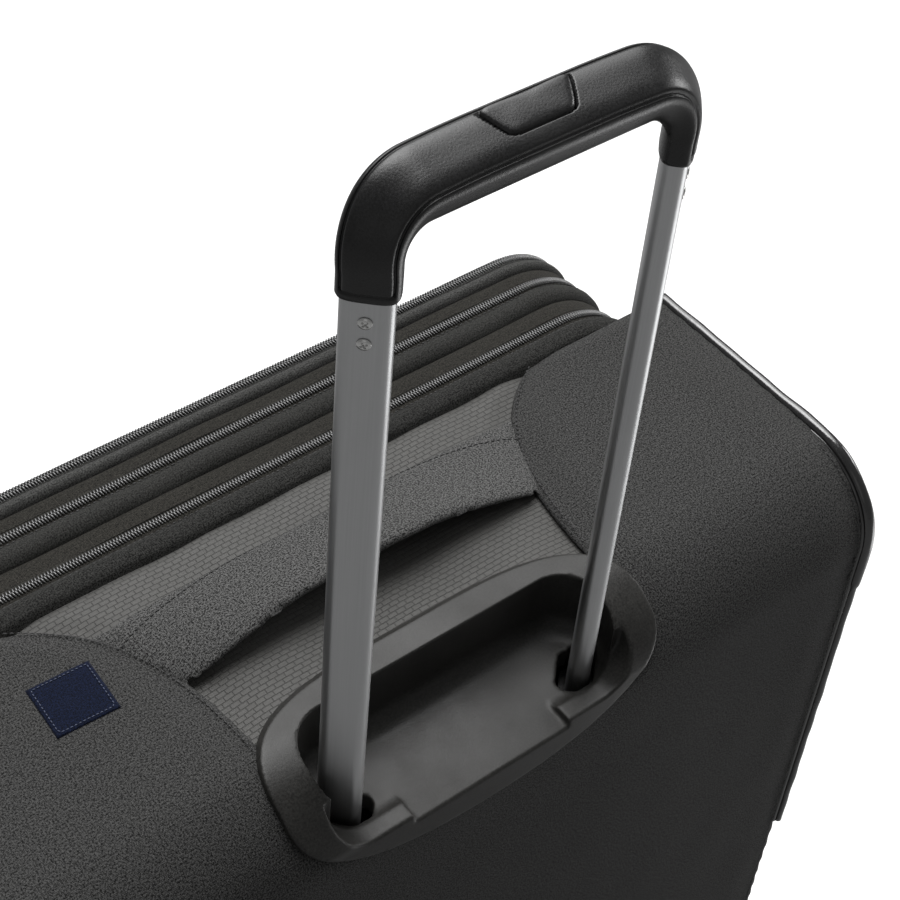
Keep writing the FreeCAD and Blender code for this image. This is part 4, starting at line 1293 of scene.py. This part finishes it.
def make_screws():
    """Cross-head screws on the tubes' broad faces."""
    heads = []
    for side in (1, -1):
        out = np.array([side * math.sqrt(0.5), math.sqrt(0.5), 0])
        across = np.array([-side * math.sqrt(0.5), math.sqrt(0.5), 0])
        for z, spin in ((984.2, 0.5), (993.5, 0.9)):
            r = np.linspace(0.02, 2.6, 34)[:, None]
            a = circle(96)[None]
            px, py = r * np.cos(a), r * np.sin(a)
            dome = 1.15 * np.sqrt(np.maximum(1 - (r / 2.75) ** 2.6, 0)) + 0 * a
            cross = (np.minimum(np.abs(px), np.abs(py)) < 0.36) & (r < 1.55)
            height = dome - np.where(cross, 0.75 * (1 - ease(r, 1.0, 1.6)), 0.0)
            qx = px * math.cos(spin) - py * math.sin(spin)
            qy = px * math.sin(spin) + py * math.cos(spin)
            centre = np.array([side * TUBE_X, TUBE_Y, z]) + out * 4.95
            points = (centre + across * qx[..., None] + np.array([0, 0, 1.0]) * qy[..., None]
                      + out * height[..., None])
            base = centre + (points[-1:] - centre) - out * 0.3
            points = np.concatenate([points, base], 0)
            uv = np.zeros((points.shape[0], 97, 2))
            heads.append(grid_object("head", points, uv, (False, True)))
    screws = face_outward(join("tube_screw_heads", heads))
    dress(screws, STEEL, "trolley")
    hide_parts("tube_screws")


def lathe(name, profile, centre, count=84):
    """Turns a closed (radius, x) profile about an axis along X."""
    profile = np.asarray(profile, float)
    a = circle(count)
    r, x = profile.T
    points = np.stack([np.broadcast_to(centre[0] + x[None], (count, len(x))),
                       centre[1] + r[None] * np.cos(a)[:, None],
                       centre[2] + r[None] * np.sin(a)[:, None]], -1)
    uv = np.zeros((count + 1, len(x) + 1, 2))
    return face_outward(grid_object(name, points, uv, (True, True)))


def make_wheels():
    """Twin wheels with spoked hubs, and the forks that hold them."""
    for name, x, y in (("front_left", -190, -45), ("front_right", 190, -45),
                       ("rear_left", -190, 95), ("rear_right", 190, 95)):
        tyres, hubs = [], []
        for side in (1, -1):
            centre = (x + side * WHEEL_APART, y + WHEEL_TRAIL, WHEEL_R)
            tyre = [(17.0, -4.6), (19.0, -5.3), (22.5, -5.5), (24.2, -4.6), (24.8, -3.0),
                    (25.0, -1.0), (24.6, -0.3), (25.0, 0.4), (24.9, 2.6), (24.3, 4.3),
                    (22.6, 5.4), (19.2, 5.3), (17.0, 4.6), (16.6, 0.0)]
            hub = [(3.1, -5.4), (6.5, -5.4), (7.4, -4.6), (8.6, -3.4), (14.6, -3.2),
                   (15.6, -4.4), (16.9, -5.0), (17.2, -4.4), (17.2, 4.4), (16.9, 5.0),
                   (15.6, 4.4), (14.6, 3.2), (8.6, 3.4), (7.4, 4.6), (6.5, 5.4), (3.1, 5.4)]
            tyres.append(lathe("part", [(r, side * v) for r, v in tyre], centre))
            hubs.append(lathe("part", [(r, side * v) for r, v in hub], centre))
            for k in range(6):
                a = k * math.pi / 3 + 0.3
                ends = [(centre[0], centre[1] + r * math.cos(a), centre[2] + r * math.sin(a))
                        for r in (7.0, 16.4)]
                line = np.linspace(ends[0], ends[1], 6)
                hubs.append(tube_mesh("part", line, np.linspace(2.4, 1.7, 6), sides=10,
                                      squash=0.55, up=(1, 0, 0)))
        tread = dress(join("tyres_" + name, tyres), TREAD, "wheels_" + name)
        dress(join("hubs_" + name, hubs), CASTER, "wheels_" + name)
        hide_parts("caster_wheels_" + name)
        make_hard_piece("caster_fork_" + name, "_moulded", 0.9, CASTER, "caster_" + name)


# ---- studio
def seen_directly(tree):
    """1 for what the camera sees itself, 0 for light bounced between surfaces."""
    return tree.nodes.new("ShaderNodeLightPath").outputs["Is Camera Ray"]


def make_floor():
    floor = make_object("floor", [(-9000, -9000, 0), (9000, -9000, 0), (9000, 9000, 0),
                                  (-9000, 9000, 0)], [[0, 1, 2, 3]])
    pale = Material("floor_paper")
    tone = pale.noise(3, kind="Object")
    paper = pale.mix(tone, (0.86, 0.86, 0.86, 1), (0.9, 0.9, 0.9, 1))
    color = pale.mix(seen_directly(pale.tree), (0.24, 0.24, 0.24, 1), paper)
    floor.data.materials.append(pale.finish(color, 0.8))


def make_world():
    world = bpy.data.worlds.new("studio")
    world.use_nodes = True
    backdrop = world.node_tree.nodes["Background"]
    backdrop.inputs[0].default_value = (1, 1, 1, 1)
    level = world.node_tree.nodes.new("ShaderNodeMapRange")
    level.inputs["To Min"].default_value = 0.2
    level.inputs["To Max"].default_value = 1.0
    world.node_tree.links.new(seen_directly(world.node_tree), level.inputs["Value"])
    world.node_tree.links.new(level.outputs[0], backdrop.inputs[1])
    bpy.context.scene.world = world
    bpy.context.scene.view_settings.view_transform = "Standard"


def make_lights():
    for name, place, aim, size, energy in (
            ("overhead", (-0.3, -0.7, 2.9), (0, 0, 0.7), 1.4, 34),
            ("side", (-3.0, 0.5, 1.7), (0, 0, 0.8), 1.0, 26),
            ("low", (-0.85, 0.55, 0.03), (-0.1, 0.15, 1.0), 0.8, 5),
            ("rear_fill", (2.4, 2.4, 2.0), (0, 0, 0.6), 1.8, 2)):
        lamp = bpy.data.lights.new(name, "AREA")
        lamp.size = size
        lamp.energy = energy
        obj = add_object(name, lamp)
        obj.location = place
        obj.visible_camera = False
        look = Vector(aim) - Vector(place)
        obj.rotation_euler = look.to_track_quat("-Z", "Y").to_euler()
    sky = bpy.data.lights.new("sky", "SUN")
    sky.energy = 3.2
    sky.angle = math.radians(70)
    sun = add_object("sky", sky)
    sun.rotation_euler = Vector((0.3, 0.7, -1.0)).to_track_quat("-Z", "Y").to_euler()


def make_camera():
    """A camera above the back's right corner, looking down and forwards."""
    yaw, pitch, roll = (math.radians(a) for a in (47.568, 46.014, 5.855))
    forward = Vector((-math.cos(yaw) * math.cos(pitch), -math.sin(yaw) * math.cos(pitch),
                      -math.sin(pitch)))
    right = forward.cross(Vector((0, 0, 1))).normalized()
    up = right.cross(forward)
    right, up = (right * math.cos(roll) + up * math.sin(roll),
                 up * math.cos(roll) - right * math.sin(roll))
    data = bpy.data.cameras.new("camera")
    data.lens, data.sensor_width = 83.786, 36.0
    camera = add_object("camera", data)
    camera.matrix_world = Matrix((right, up, -forward)).transposed().to_4x4()
    camera.location = (0.3835, 0.5120, 1.4544)
    bpy.context.scene.camera = camera


# ---- build
for make in (make_wrap, make_ripstop, make_side_panels, make_piping, make_tub_stitches,
             make_lining, make_rings, make_hinge, make_lid, make_handles, make_patch,
             make_mouldings, make_grip, make_button, make_screws, make_wheels, make_floor,
             make_world, make_lights, make_camera):
    make()
